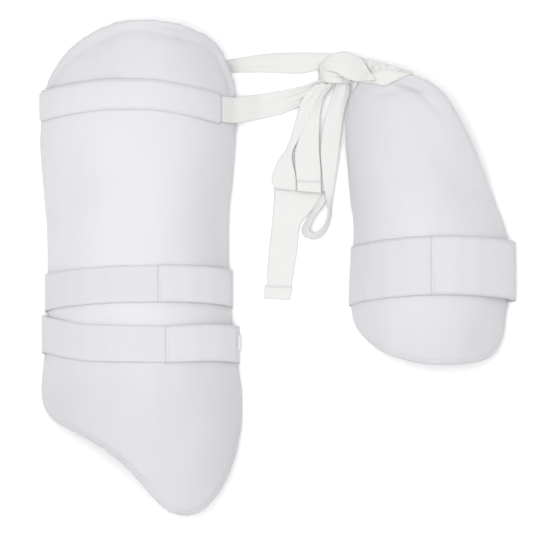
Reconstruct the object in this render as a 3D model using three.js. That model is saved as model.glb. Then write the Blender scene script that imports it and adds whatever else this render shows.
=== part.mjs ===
// Cricket thigh guard: an outer thigh pad and an inner thigh pad on one knotted waist tape.
// Both pads lie on their backs' elastic straps with their bent fronts up.
// Millimetres, +X to the wearer's inner side, +Y towards the waist, +Z up from the floor.

import * as THREE from 'three';

// Fits
const clearance = 0.3;

// Outer thigh pad
const outerLength = 497;
const outerWidth = 201;
const outerCrown = 66;
const outerThickness = 22;
const outerRimThickness = 10;
const outerValleyDepth = 4;
const outerValleyFromEdge = 14;
const outerValleyHalfWidth = 7;

// Inner thigh pad
const innerLength = 302;
const innerWidth = 165;
const innerCrown = 58;
const innerThickness = 18;
const innerRimThickness = 9;

// Where the pads lie: the outer pad's left edge and top edge, and the inner pad from there
const outerLeft = -238;
const outerTop = 248;
const padGap = 103;
const innerBelowOuterTop = 45;

// Elastic thigh straps
const elasticThickness = 1.6;
const outerStrapWidth = 37;
const innerStrapWidth = 59;
const patchThickness = 1.4;

// Waist tape
const tapeWidth = 27;
const tapeThickness = 1.2;
const foldedTapeWidth = 17;
const foldedTapeThickness = 2.6;
const sleeveThickness = 1;
const sleeveSeam = 2.4;
const sleeveStart = 0.875;
const sleeveEndHeight = 30;
const hemThickness = 2.4;

// The knot: its place from the outer pad's right edge and top edge, and how far each end hangs
const knotFromPad = 91;
const knotBelowTop = 54.3;
const knotWidth = 26;
const longTailReach = 220;
const shortTailReach = 112;
const slackLoopReach = 157;

// Side label
const labelLength = 16;
const labelReach = 6;
const labelThickness = 0.8;
const labelAlong = 0.635;
const labelHeight = 12;

// Both pads lie clear of the floor by the straps under their rims and a little room
const strapRoom = 0.6;
const padLift = elasticThickness + strapRoom;
const knotX = outerLeft + outerWidth + knotFromPad;
const knotY = outerTop - knotBelowTop;

// Sine of the angle at which a pad's front meets its side rims
const edgeSine = 0.93;

const colours = {
  cover: 0xe2e1e6,
  elastic: 0xe6e5ea,
  patch: 0xe2e2e7,
  tape: 0xf0f0ee,
  label: 0xdedee2,
};

// Outline of the outer pad: shares of its length from the top, and of its width from the left
const outerOutline = [
  { along: 0.0, left: 0.535, right: 0.535 },
  { along: 0.003, left: 0.41, right: 0.655 },
  { along: 0.011, left: 0.34, right: 0.73 },
  { along: 0.02, left: 0.28, right: 0.795 },
  { along: 0.031, left: 0.215, right: 0.862 },
  { along: 0.046, left: 0.16, right: 0.9 },
  { along: 0.062, left: 0.12, right: 0.915 },
  { along: 0.09, left: 0.07, right: 0.94 },
  { along: 0.125, left: 0.03, right: 0.972 },
  { along: 0.19, left: 0.012, right: 0.97 },
  { along: 0.26, left: 0.006, right: 0.968 },
  { along: 0.34, left: 0.025, right: 0.952 },
  { along: 0.42, left: 0.036, right: 0.945 },
  { along: 0.5, left: 0.044, right: 0.944 },
  { along: 0.59, left: 0.04, right: 0.952 },
  { along: 0.67, left: 0.034, right: 0.978 },
  { along: 0.72, left: 0.02, right: 0.993 },
  { along: 0.765, left: 0.014, right: 1.0 },
  { along: 0.797, left: 0.045, right: 0.998 },
  { along: 0.82, left: 0.1, right: 0.993 },
  { along: 0.845, left: 0.205, right: 0.986 },
  { along: 0.87, left: 0.305, right: 0.972 },
  { along: 0.893, left: 0.383, right: 0.956 },
  { along: 0.914, left: 0.44, right: 0.938 },
  { along: 0.934, left: 0.494, right: 0.915 },
  { along: 0.954, left: 0.54, right: 0.888 },
  { along: 0.974, left: 0.59, right: 0.853 },
  { along: 0.985, left: 0.62, right: 0.828 },
  { along: 0.993, left: 0.65, right: 0.802 },
  { along: 0.998, left: 0.688, right: 0.772 },
  { along: 1.0, left: 0.735, right: 0.735 },
];

// Outline of the inner pad, in the same shares
const innerOutline = [
  { along: 0.0, left: 0.25, right: 0.25 },
  { along: 0.004, left: 0.195, right: 0.3 },
  { along: 0.011, left: 0.155, right: 0.345 },
  { along: 0.02, left: 0.122, right: 0.405 },
  { along: 0.031, left: 0.095, right: 0.46 },
  { along: 0.045, left: 0.07, right: 0.52 },
  { along: 0.065, left: 0.042, right: 0.575 },
  { along: 0.098, left: 0.018, right: 0.632 },
  { along: 0.165, left: 0.004, right: 0.707 },
  { along: 0.24, left: 0.004, right: 0.768 },
  { along: 0.305, left: 0.012, right: 0.823 },
  { along: 0.37, left: 0.018, right: 0.866 },
  { along: 0.433, left: 0.027, right: 0.909 },
  { along: 0.495, left: 0.038, right: 0.951 },
  { along: 0.555, left: 0.046, right: 0.985 },
  { along: 0.625, left: 0.049, right: 1.0 },
  { along: 0.692, left: 0.049, right: 0.993 },
  { along: 0.757, left: 0.052, right: 0.982 },
  { along: 0.827, left: 0.061, right: 0.966 },
  { along: 0.863, left: 0.079, right: 0.963 },
  { along: 0.9, left: 0.122, right: 0.952 },
  { along: 0.94, left: 0.189, right: 0.917 },
  { along: 0.969, left: 0.285, right: 0.868 },
  { along: 0.986, left: 0.39, right: 0.795 },
  { along: 0.996, left: 0.485, right: 0.695 },
  { along: 1.0, left: 0.585, right: 0.585 },
];

// Height of each pad's crown along its length, as a share of its full crown
const outerRise = [
  { along: 0, height: 1.0 },
  { along: 0.12, height: 0.96 },
  { along: 0.35, height: 1.0 },
  { along: 0.7, height: 1.0 },
  { along: 0.86, height: 0.95 },
  { along: 1, height: 0.84 },
];
const innerRise = [
  { along: 0, height: 0.78 },
  { along: 0.25, height: 0.88 },
  { along: 0.6, height: 1.0 },
  { along: 1, height: 0.93 },
];

// Soft dents in the fronts: place as shares of length and width, size in shares of width
const outerDents = [
  { along: 0.4, across: 0.9, radius: 0.2, depth: 0.012 },
  { along: 0.84, across: 0.62, radius: 0.22, depth: 0.014 },
];
const innerDents = [
  { along: 0.05, across: 0.42, radius: 0.1, depth: 0.03 },
  { along: 0.33, across: 0.6, radius: 0.26, depth: 0.016 },
];

// Middle line of each band over its pad: shares of the pad's width and length
const beltLine = [
  { across: 0.0, along: 0.1555 },
  { across: 0.34, along: 0.1575 },
  { across: 0.58, along: 0.1595 },
  { across: 0.76, along: 0.1675 },
  { across: 0.9, along: 0.1705 },
  { across: 1.0, along: 0.1645 },
];
const upperStrapLine = [
  { across: 0.0, along: 0.5435 },
  { across: 0.5, along: 0.5425 },
  { across: 1.0, along: 0.5345 },
];
const lowerStrapLine = [
  { across: 0.0, along: 0.6195 },
  { across: 0.12, along: 0.6435 },
  { across: 0.27, along: 0.6595 },
  { across: 0.6, along: 0.6645 },
  { across: 1.0, along: 0.6475 },
];
const innerStrapLine = [
  { across: 0.0, along: 0.6902 },
  { across: 0.5, along: 0.6782 },
  { across: 1.0, along: 0.6732 },
];

// The tape's free stretches between the outer pad and the knot.
// Share of the way to the knot, drop below the knot in tape widths, height over the floor in mm,
// and width as a share of the flat or folded tape
const lowerTie = [
  { toKnot: 0.865, down: 0.3, up: 5.5, wide: 0.5 },
  { toKnot: 0.72, down: 0.44, up: 4.6, wide: 0.74 },
  { toKnot: 0.46, down: 0.76, up: 3.5, wide: 0.95 },
  { toKnot: 0.26, down: 0.96, up: 5, wide: 1 },
  { toKnot: 0.13, down: 1.02, up: 9, wide: 1 },
];
const upperTie = [
  { toKnot: -0.16, down: -0.58, up: 1.6, wide: 0.9 },
  { toKnot: 0.1, down: -0.62, up: 2.6, wide: 0.95 },
  { toKnot: 0.46, down: -0.66, up: 4, wide: 1.1 },
  { toKnot: 0.74, down: -0.68, up: 7, wide: 1 },
  { toKnot: 0.84, down: -0.62, up: 8.5, wide: 0.8 },
];

// The tape's turn round the outer pad's left rim: mm right of its outermost place, and its height
// as a share of the height where it leaves the front, plus mm
const rimTurn = [
  { right: -0.6, share: 0.72, up: 0 },
  { right: -1.6, share: 0.4, up: 0 },
  { right: -1.2, share: 0, up: 2.8 },
  { right: 1, share: 0, up: 0.9 },
  { right: 4, share: 0, up: 0.6 },
  { right: 14, share: 0, up: 0.6 },
];
const tapeLeavesFrontAt = 18;

// Lumps of the knot from top to bottom: in tape widths from its middle, and height in mm
const knotSections = [
  { right: -0.14, down: -0.86, up: 8.6, wide: 0.5, high: 6 },
  { right: -0.08, down: -0.6, up: 8.8, wide: 0.84, high: 13 },
  { right: 0.03, down: -0.15, up: 9, wide: 0.98, high: 17 },
  { right: 0.04, down: 0.15, up: 9, wide: 0.94, high: 16 },
  { right: 0.02, down: 0.42, up: 8.6, wide: 0.98, high: 12 },
  { right: 0.0, down: 0.57, up: 8.4, wide: 0.86, high: 8 },
];

// The tape over the inner pad's top corner: share of the pad's width, the tape's lower edge and
// its turn over the rim in tape widths below the pad's top, height over the front, hang behind
const wrapSections = [
  { across: -0.13, low: -0.16, turn: -0.42, over: 0.2, behind: 0.03 },
  { across: -0.06, low: -0.06, turn: -0.6, over: 0.2, behind: 0.1 },
  { across: 0.01, low: 0.13, turn: -0.78, over: 0.2, behind: 0.16 },
  { across: 0.12, low: 0.44, turn: -0.42, over: 0.2, behind: 0.3 },
  { across: 0.19, low: 0.6, turn: -0.24, over: 0.1, behind: 0.34 },
  { across: 0.25, low: 0.66, turn: -0.17, over: 0.04, behind: 0.36 },
  { across: 0.31, low: 0.46, turn: -0.15, over: 0.04, behind: 0.34 },
  { across: 0.37, low: 0.34, turn: -0.08, over: 0.04, behind: 0.3 },
  { across: 0.41, low: 0.22, turn: 0.0, over: 0.04, behind: 0.26 },
];

// The hanging tape ends. Right of the knot, width and height in tape widths, down as a share of
// each one's own reach, tilt in degrees from lying flat
const foldedStrand = [
  { right: -0.66, down: 0.16, up: 0.3, wide: 0.36, tilt: 0 },
  { right: -0.95, down: 0.29, up: 0.2, wide: 0.48, tilt: 0 },
  { right: -1.25, down: 0.44, up: 0.13, wide: 0.4, tilt: 0 },
  { right: -1.5, down: 0.58, up: 0.12, wide: 0.36, tilt: 0 },
  { right: -1.67, down: 0.71, up: 0.12, wide: 0.55, tilt: 0 },
  { right: -1.78, down: 0.86, up: 0.12, wide: 0.86, tilt: 0 },
  { right: -1.74, down: 0.97, up: 0.1, wide: 0.87, tilt: 0 },
];
const shortTail = [
  { right: -0.26, down: 0.16, up: 0.38, wide: 0.38, tilt: 0 },
  { right: -0.5, down: 0.3, up: 0.29, wide: 0.4, tilt: 0 },
  { right: -0.8, down: 0.47, up: 0.21, wide: 0.72, tilt: 0 },
  { right: -0.94, down: 0.62, up: 0.19, wide: 0.96, tilt: 0 },
  { right: -0.91, down: 0.76, up: 0.18, wide: 0.96, tilt: 0 },
  { right: -0.86, down: 0.88, up: 0.18, wide: 0.93, tilt: 0 },
];
const shortTailHem = [
  { right: -0.855, down: 0.885, up: 0.18, wide: 0.93, tilt: 0 },
  { right: -0.81, down: 1.0, up: 0.16, wide: 0.93, tilt: 0 },
];
const slackLoop = [
  { right: 0.36, down: 0.12, up: 0.3, wide: 0.6, tilt: 15 },
  { right: 0.13, down: 0.23, up: 0.22, wide: 0.68, tilt: 20 },
  { right: -0.02, down: 0.38, up: 0.2, wide: 0.72, tilt: 25 },
  { right: -0.02, down: 0.56, up: 0.26, wide: 0.72, tilt: 38 },
  { right: -0.02, down: 0.713, up: 0.3, wide: 0.6, tilt: 58 },
  { right: -0.08, down: 0.84, up: 0.28, wide: 0.5, tilt: 74 },
  { right: -0.24, down: 0.935, up: 0.27, wide: 0.48, tilt: 76 },
  { right: -0.62, down: 0.984, up: 0.26, wide: 0.46, tilt: 76 },
  { right: -0.9, down: 0.945, up: 0.25, wide: 0.44, tilt: 74 },
  { right: -0.7, down: 0.87, up: 0.24, wide: 0.42, tilt: 72 },
  { right: -0.33, down: 0.79, up: 0.22, wide: 0.36, tilt: 68 },
];
const longTail = [
  { right: -1.12, down: 0.5, up: 0.03, wide: 1.6, tilt: 0 },
  { right: -1.18, down: 0.523, up: 0.035, wide: 1.84, tilt: 0 },
  { right: -1.43, down: 0.59, up: 0.04, wide: 1.46, tilt: 0 },
  { right: -1.69, down: 0.65, up: 0.04, wide: 1.08, tilt: 0 },
  { right: -1.76, down: 0.727, up: 0.03, wide: 1.06, tilt: 0 },
  { right: -1.83, down: 0.8, up: 0.03, wide: 1.04, tilt: 0 },
  { right: -1.91, down: 0.864, up: 0.03, wide: 1.0, tilt: 0 },
  { right: -1.95, down: 0.925, up: 0.03, wide: 0.97, tilt: 0 },
];
const longTailHem = [
  { right: -1.955, down: 0.93, up: 0.05, wide: 1.02, tilt: 0 },
  { right: -1.98, down: 1.0, up: 0.05, wide: 1.02, tilt: 0 },
];

// Where each patch starts, as a share of the pad's width, and how high over the floor it ends
const upperPatchStart = 0.585;
const lowerPatchStart = 0.625;
const innerPatchStart = 0.51;
const patchEndHeight = 14;

// How far the bands lie off the pads' fronts
const bandEase = 0.45;

// How high the tape leaves the knot for the inner pad, and the shares of the pad's width between
// which it comes down to lie on the front
const wrapKnotHeight = 16.8;
const wrapLeavesKnot = -0.13;
const wrapMeetsPad = 0.12;
const wrapArchHeight = 8;
const wrapCorner = 3;

// Shares from 0 to 1 across a pad's front, close together at the rounded rims
const rimSteps = [0, 0.004, 0.012, 0.024, 0.05, 0.1, 0.18, 0.28, 0.39];
const acrossSteps = [...rimSteps, 0.5, ...rimSteps.map((step) => 1 - step).reverse()];

const clamp = (value, low, high) => Math.min(high, Math.max(low, value));

function smooth(value) {
  const share = clamp(value, 0, 1);
  return share * share * (3 - 2 * share);
}

// Reads a table by one of its columns, with straight lines between the rows
function readTable(rows, keyColumn, valueColumn, key) {
  const last = rows.length - 1;
  if (key <= rows[0][keyColumn]) return rows[0][valueColumn];
  if (key >= rows[last][keyColumn]) return rows[last][valueColumn];
  const next = rows.findIndex((row) => row[keyColumn] >= key);
  const before = rows[next - 1];
  const after = rows[next];
  const share = (key - before[keyColumn]) / (after[keyColumn] - before[keyColumn]);
  return before[valueColumn] + share * (after[valueColumn] - before[valueColumn]);
}

// Rounds a table's corners: a smooth curve through its rows, read back as a finer table
function smoothTable(rows, keyColumn, valueColumn, count) {
  const points = rows.map((row) => new THREE.Vector3(row[keyColumn], row[valueColumn], 0));
  const curve = new THREE.CatmullRomCurve3(points);
  return curve.getPoints(count).map((point) => ({ [keyColumn]: point.x, [valueColumn]: point.y }));
}

function signedVolume(positions, faces) {
  let volume = 0;
  for (const [a, b, c] of faces) {
    volume += positions[a].dot(new THREE.Vector3().crossVectors(positions[b], positions[c]));
  }
  return volume / 6;
}

// A closed solid through rings of equally many points.
// Its ends are flat caps, single points, or joined to each other when the rings go right round.
function solidThroughRings(rings, { joined = false, section, startPoint, endPoint } = {}) {
  const size = rings[0].length;
  const positions = rings.flat();
  const faces = [];
  const spans = joined ? rings.length : rings.length - 1;
  for (let i = 0; i < spans; i += 1) {
    const here = i * size;
    const next = ((i + 1) % rings.length) * size;
    for (let j = 0; j < size; j += 1) {
      const k = (j + 1) % size;
      faces.push([here + j, here + k, next + k], [here + j, next + k, next + j]);
    }
  }
  const lastRing = (rings.length - 1) * size;
  if (!joined && section) {
    const clockwise = THREE.ShapeUtils.isClockWise(section);
    for (const triangle of THREE.ShapeUtils.triangulateShape(section, [])) {
      const [a, b, c] = clockwise ? [...triangle].reverse() : triangle;
      faces.push([c, b, a], [lastRing + a, lastRing + b, lastRing + c]);
    }
  }
  if (startPoint) {
    const tip = positions.push(startPoint) - 1;
    for (let j = 0; j < size; j += 1) faces.push([(j + 1) % size, j, tip]);
  }
  if (endPoint) {
    const tip = positions.push(endPoint) - 1;
    for (let j = 0; j < size; j += 1) faces.push([lastRing + j, lastRing + ((j + 1) % size), tip]);
  }
  if (signedVolume(positions, faces) < 0) faces.forEach((face) => face.reverse());
  const geometry = new THREE.BufferGeometry().setFromPoints(positions);
  geometry.setIndex(faces.flat());
  geometry.computeVertexNormals();
  return geometry;
}

// A bent pad: an arched front over its outline, with a rounded rim and a hollow back
function makePad(spec) {
  const { length, width, left, top, outline, crown, thickness, rimThickness } = spec;
  const rimRadius = rimThickness / 2;
  const edgeCosine = Math.sqrt(1 - edgeSine * edgeSine);
  const rowPoint = (row) => new THREE.Vector3(
    left + row.left * width,
    left + row.right * width,
    top - row.along * length,
  );
  const curve = new THREE.CatmullRomCurve3(outline.map(rowPoint), false, 'centripetal');
  const stations = curve.getPoints(outline.length * 6).map((point) => ({
    depth: top - point.z,
    left: point.x,
    right: point.y,
  }));
  const rise = smoothTable(spec.rise, 'along', 'height', 40);

  const edgesAt = (y) => ({
    left: readTable(stations, 'depth', 'left', top - y),
    right: readTable(stations, 'depth', 'right', top - y),
  });

  // The arch keeps its breadth past the ends of the body, where the outline runs in
  function archAt(y) {
    const depth = top - y;
    const held = spec.body;
    const low = clamp(depth, held.leftFrom * length, held.to * length);
    const high = clamp(depth, held.rightFrom * length, held.to * length);
    const archLeft = readTable(stations, 'depth', 'left', low);
    const archRight = readTable(stations, 'depth', 'right', high);
    return { middle: (archLeft + archRight) / 2, half: (archRight - archLeft) / 2 };
  }

  function frontHeight(x, y) {
    const arch = archAt(y);
    const sine = clamp((edgeSine * (x - arch.middle)) / arch.half, -0.99, 0.99);
    const full = (crown * readTable(rise, 'along', 'height', (top - y) / length)) / (1 - edgeCosine);
    return padLift + rimRadius * edgeCosine + full * (Math.sqrt(1 - sine * sine) - edgeCosine);
  }

  function frontNormal(x, y) {
    const step = 0.5;
    const slopeX = (frontHeight(x + step, y) - frontHeight(x - step, y)) / (2 * step);
    const slopeY = (frontHeight(x, y + step) - frontHeight(x, y - step)) / (2 * step);
    return new THREE.Vector3(-slopeX, -slopeY, 1).normalize();
  }

  const onFront = (x, y) => new THREE.Vector3(x, y, frontHeight(x, y));
  const edgeLine = [
    ...stations.map((row) => onFront(row.left, top - row.depth)),
    ...stations.map((row) => onFront(row.right, top - row.depth)).reverse(),
  ];

  function distanceToEdge(point) {
    const nearest = new THREE.Vector3();
    let shortest = Infinity;
    for (let i = 0; i < edgeLine.length; i += 1) {
      const segment = new THREE.Line3(edgeLine[i], edgeLine[(i + 1) % edgeLine.length]);
      segment.closestPointToPoint(point, true, nearest);
      shortest = Math.min(shortest, nearest.distanceTo(point));
    }
    return shortest;
  }

  function dentDepth(x, y, fromEdge) {
    let depth = 0;
    for (const dent of spec.dents) {
      const dx = x - (left + dent.across * width);
      const dy = y - (top - dent.along * length);
      const radius = dent.radius * width;
      depth += dent.depth * width * Math.exp(-(dx * dx + dy * dy) / (radius * radius));
    }
    if (spec.valley) {
      const { depth: full, fromEdge: place, halfWidth, until } = spec.valley;
      const away = (fromEdge - place) / halfWidth;
      const nearTop = 1 - smooth((top - y) / (until * length));
      depth += full * nearTop * Math.exp(-away * away);
    }
    return depth;
  }

  // Front and back of the pad at one place of the outline's rectangle
  function wallAt(x, y) {
    const surface = onFront(x, y);
    const normal = frontNormal(x, y);
    const fromEdge = distanceToEdge(surface);
    const inRim = clamp(1 - fromEdge / rimRadius, 0, 1);
    const round = rimRadius * (1 - Math.sqrt(1 - inRim * inRim));
    const swell = (thickness - rimThickness) * smooth((fromEdge - rimRadius) / spec.swellReach);
    const dent = dentDepth(x, y, fromEdge) * smooth(fromEdge / rimThickness);
    return {
      front: surface.clone().addScaledVector(normal, -round - dent),
      back: surface.clone().addScaledVector(normal, round - rimThickness - swell),
    };
  }

  function ringAt(y, edges = edgesAt(y)) {
    const arch = archAt(y);
    const angleOf = (x) => Math.asin(clamp((edgeSine * (x - arch.middle)) / arch.half, -0.99, 0.99));
    const from = angleOf(edges.left);
    const to = angleOf(edges.right);
    const walls = acrossSteps.map((step) => {
      const sine = Math.sin(from + step * (to - from));
      return wallAt(arch.middle + (sine * arch.half) / edgeSine, y);
    });
    const front = walls.map((wall) => wall.front);
    const back = walls.slice(1, -1).map((wall) => wall.back).reverse();
    return [...front, ...back];
  }

  function tipAt(row) {
    const point = rowPoint(row);
    return wallAt(point.x, point.z).front;
  }

  const rings = outline.slice(1, -1).map((row) => {
    const point = rowPoint(row);
    return ringAt(point.z, { left: point.x, right: point.y });
  });
  const geometry = solidThroughRings(rings, {
    startPoint: tipAt(outline[0]),
    endPoint: tipAt(outline[outline.length - 1]),
  });
  return { spec, geometry, ringAt, frontHeight };
}

// The outline that a taut band takes round a set of points, anticlockwise
function hullOf(points) {
  const sorted = [...points].sort((a, b) => a.x - b.x || a.y - b.y);
  const turn = (o, a, b) => (a.x - o.x) * (b.y - o.y) - (a.y - o.y) * (b.x - o.x);
  const half = (list) => {
    const chain = [];
    for (const point of list) {
      while (chain.length > 1 && turn(chain[chain.length - 2], chain[chain.length - 1], point) <= 0) {
        chain.pop();
      }
      chain.push(point);
    }
    return chain.slice(0, -1);
  };
  return [...half(sorted), ...half([...sorted].reverse())];
}

// Drops points that lie closer together than a least step
function thinned(points, step) {
  return points.filter((point, i) => i === 0 || point.distanceTo(points[i - 1]) > step);
}

// A band's way round a pad in the XZ plane: over the front, round both rims and along the floor
function wayRound(pad, line, bandWidth) {
  const { left, width, top, length } = pad.spec;
  const alongs = line.map((row) => row.along);
  const highest = top - Math.min(...alongs) * length + bandWidth / 2;
  const lowest = top - Math.max(...alongs) * length - bandWidth / 2;
  const points = [];
  const slices = 10;
  for (let i = 0; i <= slices; i += 1) {
    const y = lowest + ((highest - lowest) * i) / slices;
    pad.ringAt(y).forEach((point) => points.push(new THREE.Vector2(point.x, point.z)));
  }
  const floor = elasticThickness + bandEase;
  const lying = 0.12;
  points.push(new THREE.Vector2(left + lying * width, floor));
  points.push(new THREE.Vector2(left + (1 - lying) * width, floor));
  const leastStep = 1.2;
  return thinned(hullOf(points), leastStep);
}

// The same way, moved out by a distance, with its outward direction at each point
function movedOut(way, distance) {
  return way.map((point, i) => {
    const before = way[(i + way.length - 1) % way.length];
    const after = way[(i + 1) % way.length];
    const a = new THREE.Vector2(point.y - before.y, before.x - point.x).normalize();
    const b = new THREE.Vector2(after.y - point.y, point.x - after.x).normalize();
    const outward = a.clone().add(b).normalize();
    const reach = distance / Math.max(0.5, outward.dot(a));
    return { x: point.x + outward.x * reach, z: point.y + outward.y * reach, outward };
  });
}

function flatSection(width, thickness) {
  const half = width / 2;
  return [
    new THREE.Vector2(-half, 0),
    new THREE.Vector2(half, 0),
    new THREE.Vector2(half, thickness),
    new THREE.Vector2(-half, thickness),
  ];
}

function lineHeight(pad, line, x) {
  const { left, width, top, length } = pad.spec;
  return top - readTable(line, 'across', 'along', (x - left) / width) * length;
}

// Rings of a band whose cross-section stands on the XZ plane's outward direction
function bandRings(pad, line, way, section) {
  return way.map((point) => {
    const y = lineHeight(pad, line, point.x);
    return section.map((corner) => new THREE.Vector3(
      point.x + point.outward.x * corner.y,
      y + corner.x,
      point.z + point.outward.y * corner.y,
    ));
  });
}

function strapLoop(pad, line, width) {
  const section = flatSection(width, elasticThickness);
  const way = movedOut(wayRound(pad, line, width), bandEase);
  return solidThroughRings(bandRings(pad, line, way, section), { joined: true });
}

// A point on the way's front at a given x, with its outward direction
function frontPointAt(way, x) {
  const front = way.filter((point) => point.outward.y > 0).sort((a, b) => a.x - b.x);
  const next = front.findIndex((point) => point.x >= x);
  const a = front[next - 1];
  const b = front[next];
  const share = (x - a.x) / (b.x - a.x);
  return {
    x,
    z: a.z + share * (b.z - a.z),
    outward: a.outward.clone().lerp(b.outward, share).normalize(),
  };
}

// The hook-and-loop end that lies over the strap from the seam to just round the right rim
function strapPatch(pad, line, width, startShare) {
  const section = flatSection(width, patchThickness);
  const way = movedOut(wayRound(pad, line, width), bandEase + elasticThickness + clearance);
  const start = pad.spec.left + startShare * pad.spec.width;
  const onPatch = (point) => point.x > start + 1 && point.outward.y > 0 && point.z > patchEndHeight;
  const stretch = way.filter(onPatch).sort((a, b) => a.x - b.x || b.z - a.z);
  const all = [frontPointAt(way, start), ...stretch];
  return solidThroughRings(bandRings(pad, line, all, section), { section });
}

// A ribbon through a list of frames: place, width, thickness and the way its width points
function ribbon(frames) {
  const section = flatSection(1, 1).map((corner) => new THREE.Vector2(corner.x, corner.y - 0.5));
  const rings = frames.map((frame, i) => {
    const before = frames[Math.max(0, i - 1)].place;
    const after = frames[Math.min(frames.length - 1, i + 1)].place;
    const along = after.clone().sub(before).normalize();
    const across = frame.across.clone().addScaledVector(along, -frame.across.dot(along)).normalize();
    const up = new THREE.Vector3().crossVectors(along, across).normalize();
    return section.map((corner) => frame.place.clone()
      .addScaledVector(across, corner.x * frame.width)
      .addScaledVector(up, corner.y * frame.thickness));
  });
  return solidThroughRings(rings, { section });
}

// The waist tape: from the knot over the outer pad's front, round its left rim, behind it on the
// floor and back to the knot, folded lengthwise on the last stretch
function waistTape(pad) {
  const { left, width } = pad.spec;
  const across = new THREE.Vector3(0, 1, 0);
  const tieFrame = (row, wide, thick) => ({
    place: new THREE.Vector3(
      knotX - knotFromPad * (1 - row.toKnot),
      knotY - row.down * tapeWidth,
      row.up,
    ),
    across,
    width: wide * row.wide,
    thickness: thick,
  });
  const onPad = movedOut(wayRound(pad, beltLine, tapeWidth), bandEase + tapeThickness / 2);
  const over = onPad
    .filter((point) => point.outward.y > 0 && point.z > tapeLeavesFrontAt)
    .sort((a, b) => b.x - a.x);
  const overFrames = over.map((point) => ({
    place: new THREE.Vector3(point.x, lineHeight(pad, beltLine, point.x), point.z),
    across,
    width: tapeWidth,
    thickness: tapeThickness,
  }));
  const lowest = overFrames[overFrames.length - 1].place;
  const floor = tapeThickness / 2;
  const outermost = Math.min(...onPad.map((point) => point.x));
  const turnFrames = rimTurn.map((row) => ({
    place: new THREE.Vector3(outermost + row.right, lowest.y, row.share * lowest.z + row.up),
    across,
    width: tapeWidth,
    thickness: tapeThickness,
  }));
  const foldedFloor = foldedTapeThickness / 2;
  const farRight = upperTie[0];
  const lyingEnd = tieFrame(farRight, foldedTapeWidth, foldedTapeThickness).place;
  const middle = new THREE.Vector3(left + width / 2, (lowest.y + lyingEnd.y) / 2, floor);
  const lying = [
    { place: middle, across, width: tapeWidth, thickness: tapeThickness },
    {
      place: new THREE.Vector3(lyingEnd.x - tapeWidth, lyingEnd.y - 6, foldedFloor),
      across,
      width: foldedTapeWidth,
      thickness: foldedTapeThickness,
    },
  ];
  return ribbon([
    ...lowerTie.map((row) => tieFrame(row, tapeWidth, tapeThickness)),
    ...overFrames,
    ...turnFrames,
    ...lying,
    ...upperTie.map((row) => tieFrame(row, foldedTapeWidth, foldedTapeThickness)),
  ]);
}

// The cover-cloth sleeve over the tape, its two long edges sewn down on the pad
function beltSleeve(pad) {
  const inside = tapeWidth / 2 + 2 * clearance;
  const outside = inside + sleeveSeam;
  const roof = bandEase + tapeThickness + 2 * clearance;
  const section = [
    new THREE.Vector2(-outside, bandEase),
    new THREE.Vector2(-inside, bandEase),
    new THREE.Vector2(-inside + clearance, roof),
    new THREE.Vector2(inside - clearance, roof),
    new THREE.Vector2(inside, bandEase),
    new THREE.Vector2(outside, bandEase),
    new THREE.Vector2(outside - sleeveSeam / 2, roof + sleeveThickness),
    new THREE.Vector2(-outside + sleeveSeam / 2, roof + sleeveThickness),
  ];
  const way = movedOut(wayRound(pad, beltLine, tapeWidth + 2 * sleeveSeam), 0);
  const start = pad.spec.left + sleeveStart * pad.spec.width;
  const over = way
    .filter((point) => point.outward.y > 0 && point.x < start - 1)
    .filter((point) => point.z > sleeveEndHeight)
    .sort((a, b) => b.x - a.x);
  return solidThroughRings(bandRings(pad, beltLine, [frontPointAt(way, start), ...over], section), {
    section,
  });
}

// A table read through smooth curves, for a tape that turns and twists
function finerRows(rows, count) {
  const columns = Object.keys(rows[0]);
  const curves = columns.map((column) => {
    const points = rows.map((row, i) => new THREE.Vector3(i, row[column], 0));
    return new THREE.CatmullRomCurve3(points);
  });
  return Array.from({ length: count + 1 }, (_, i) => {
    const values = curves.map((curve) => curve.getPoint(i / count).y);
    return Object.fromEntries(columns.map((column, j) => [column, values[j]]));
  });
}

// A hanging tape end from its table, with the rows of its doubled hem last
function hangingTape(rows, reach, hemRows = []) {
  const frames = [...rows, ...hemRows].map((row) => ({
    place: new THREE.Vector3(
      knotX + row.right * tapeWidth,
      knotY - row.down * reach,
      row.up * tapeWidth,
    ),
    width: row.wide * tapeWidth,
    thickness: hemRows.includes(row) ? hemThickness : tapeThickness,
    tilt: THREE.MathUtils.degToRad(row.tilt),
  }));
  frames.forEach((frame, i) => {
    const before = frames[Math.max(0, i - 1)].place;
    const after = frames[Math.min(frames.length - 1, i + 1)].place;
    const along = after.clone().sub(before).setZ(0).normalize();
    const level = new THREE.Vector3(-along.y, along.x, 0);
    const upright = new THREE.Vector3(0, 0, 1);
    frame.across = level.multiplyScalar(Math.cos(frame.tilt))
      .addScaledVector(upright, Math.sin(frame.tilt));
  });
  return ribbon(frames);
}

// The lump of the knot, round in section
function knotLump() {
  const sides = 10;
  const rings = knotSections.map((row) => {
    const ring = [];
    for (let i = 0; i < sides; i += 1) {
      const angle = (2 * Math.PI * i) / sides;
      ring.push(new THREE.Vector3(
        knotX + row.right * tapeWidth + (Math.cos(angle) * row.wide * knotWidth) / 2,
        knotY - row.down * tapeWidth,
        row.up + (Math.sin(angle) * row.high) / 2,
      ));
    }
    return ring;
  });
  const section = rings[0].map((point) => new THREE.Vector2(point.x, point.z));
  return solidThroughRings(rings, { section });
}

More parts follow.
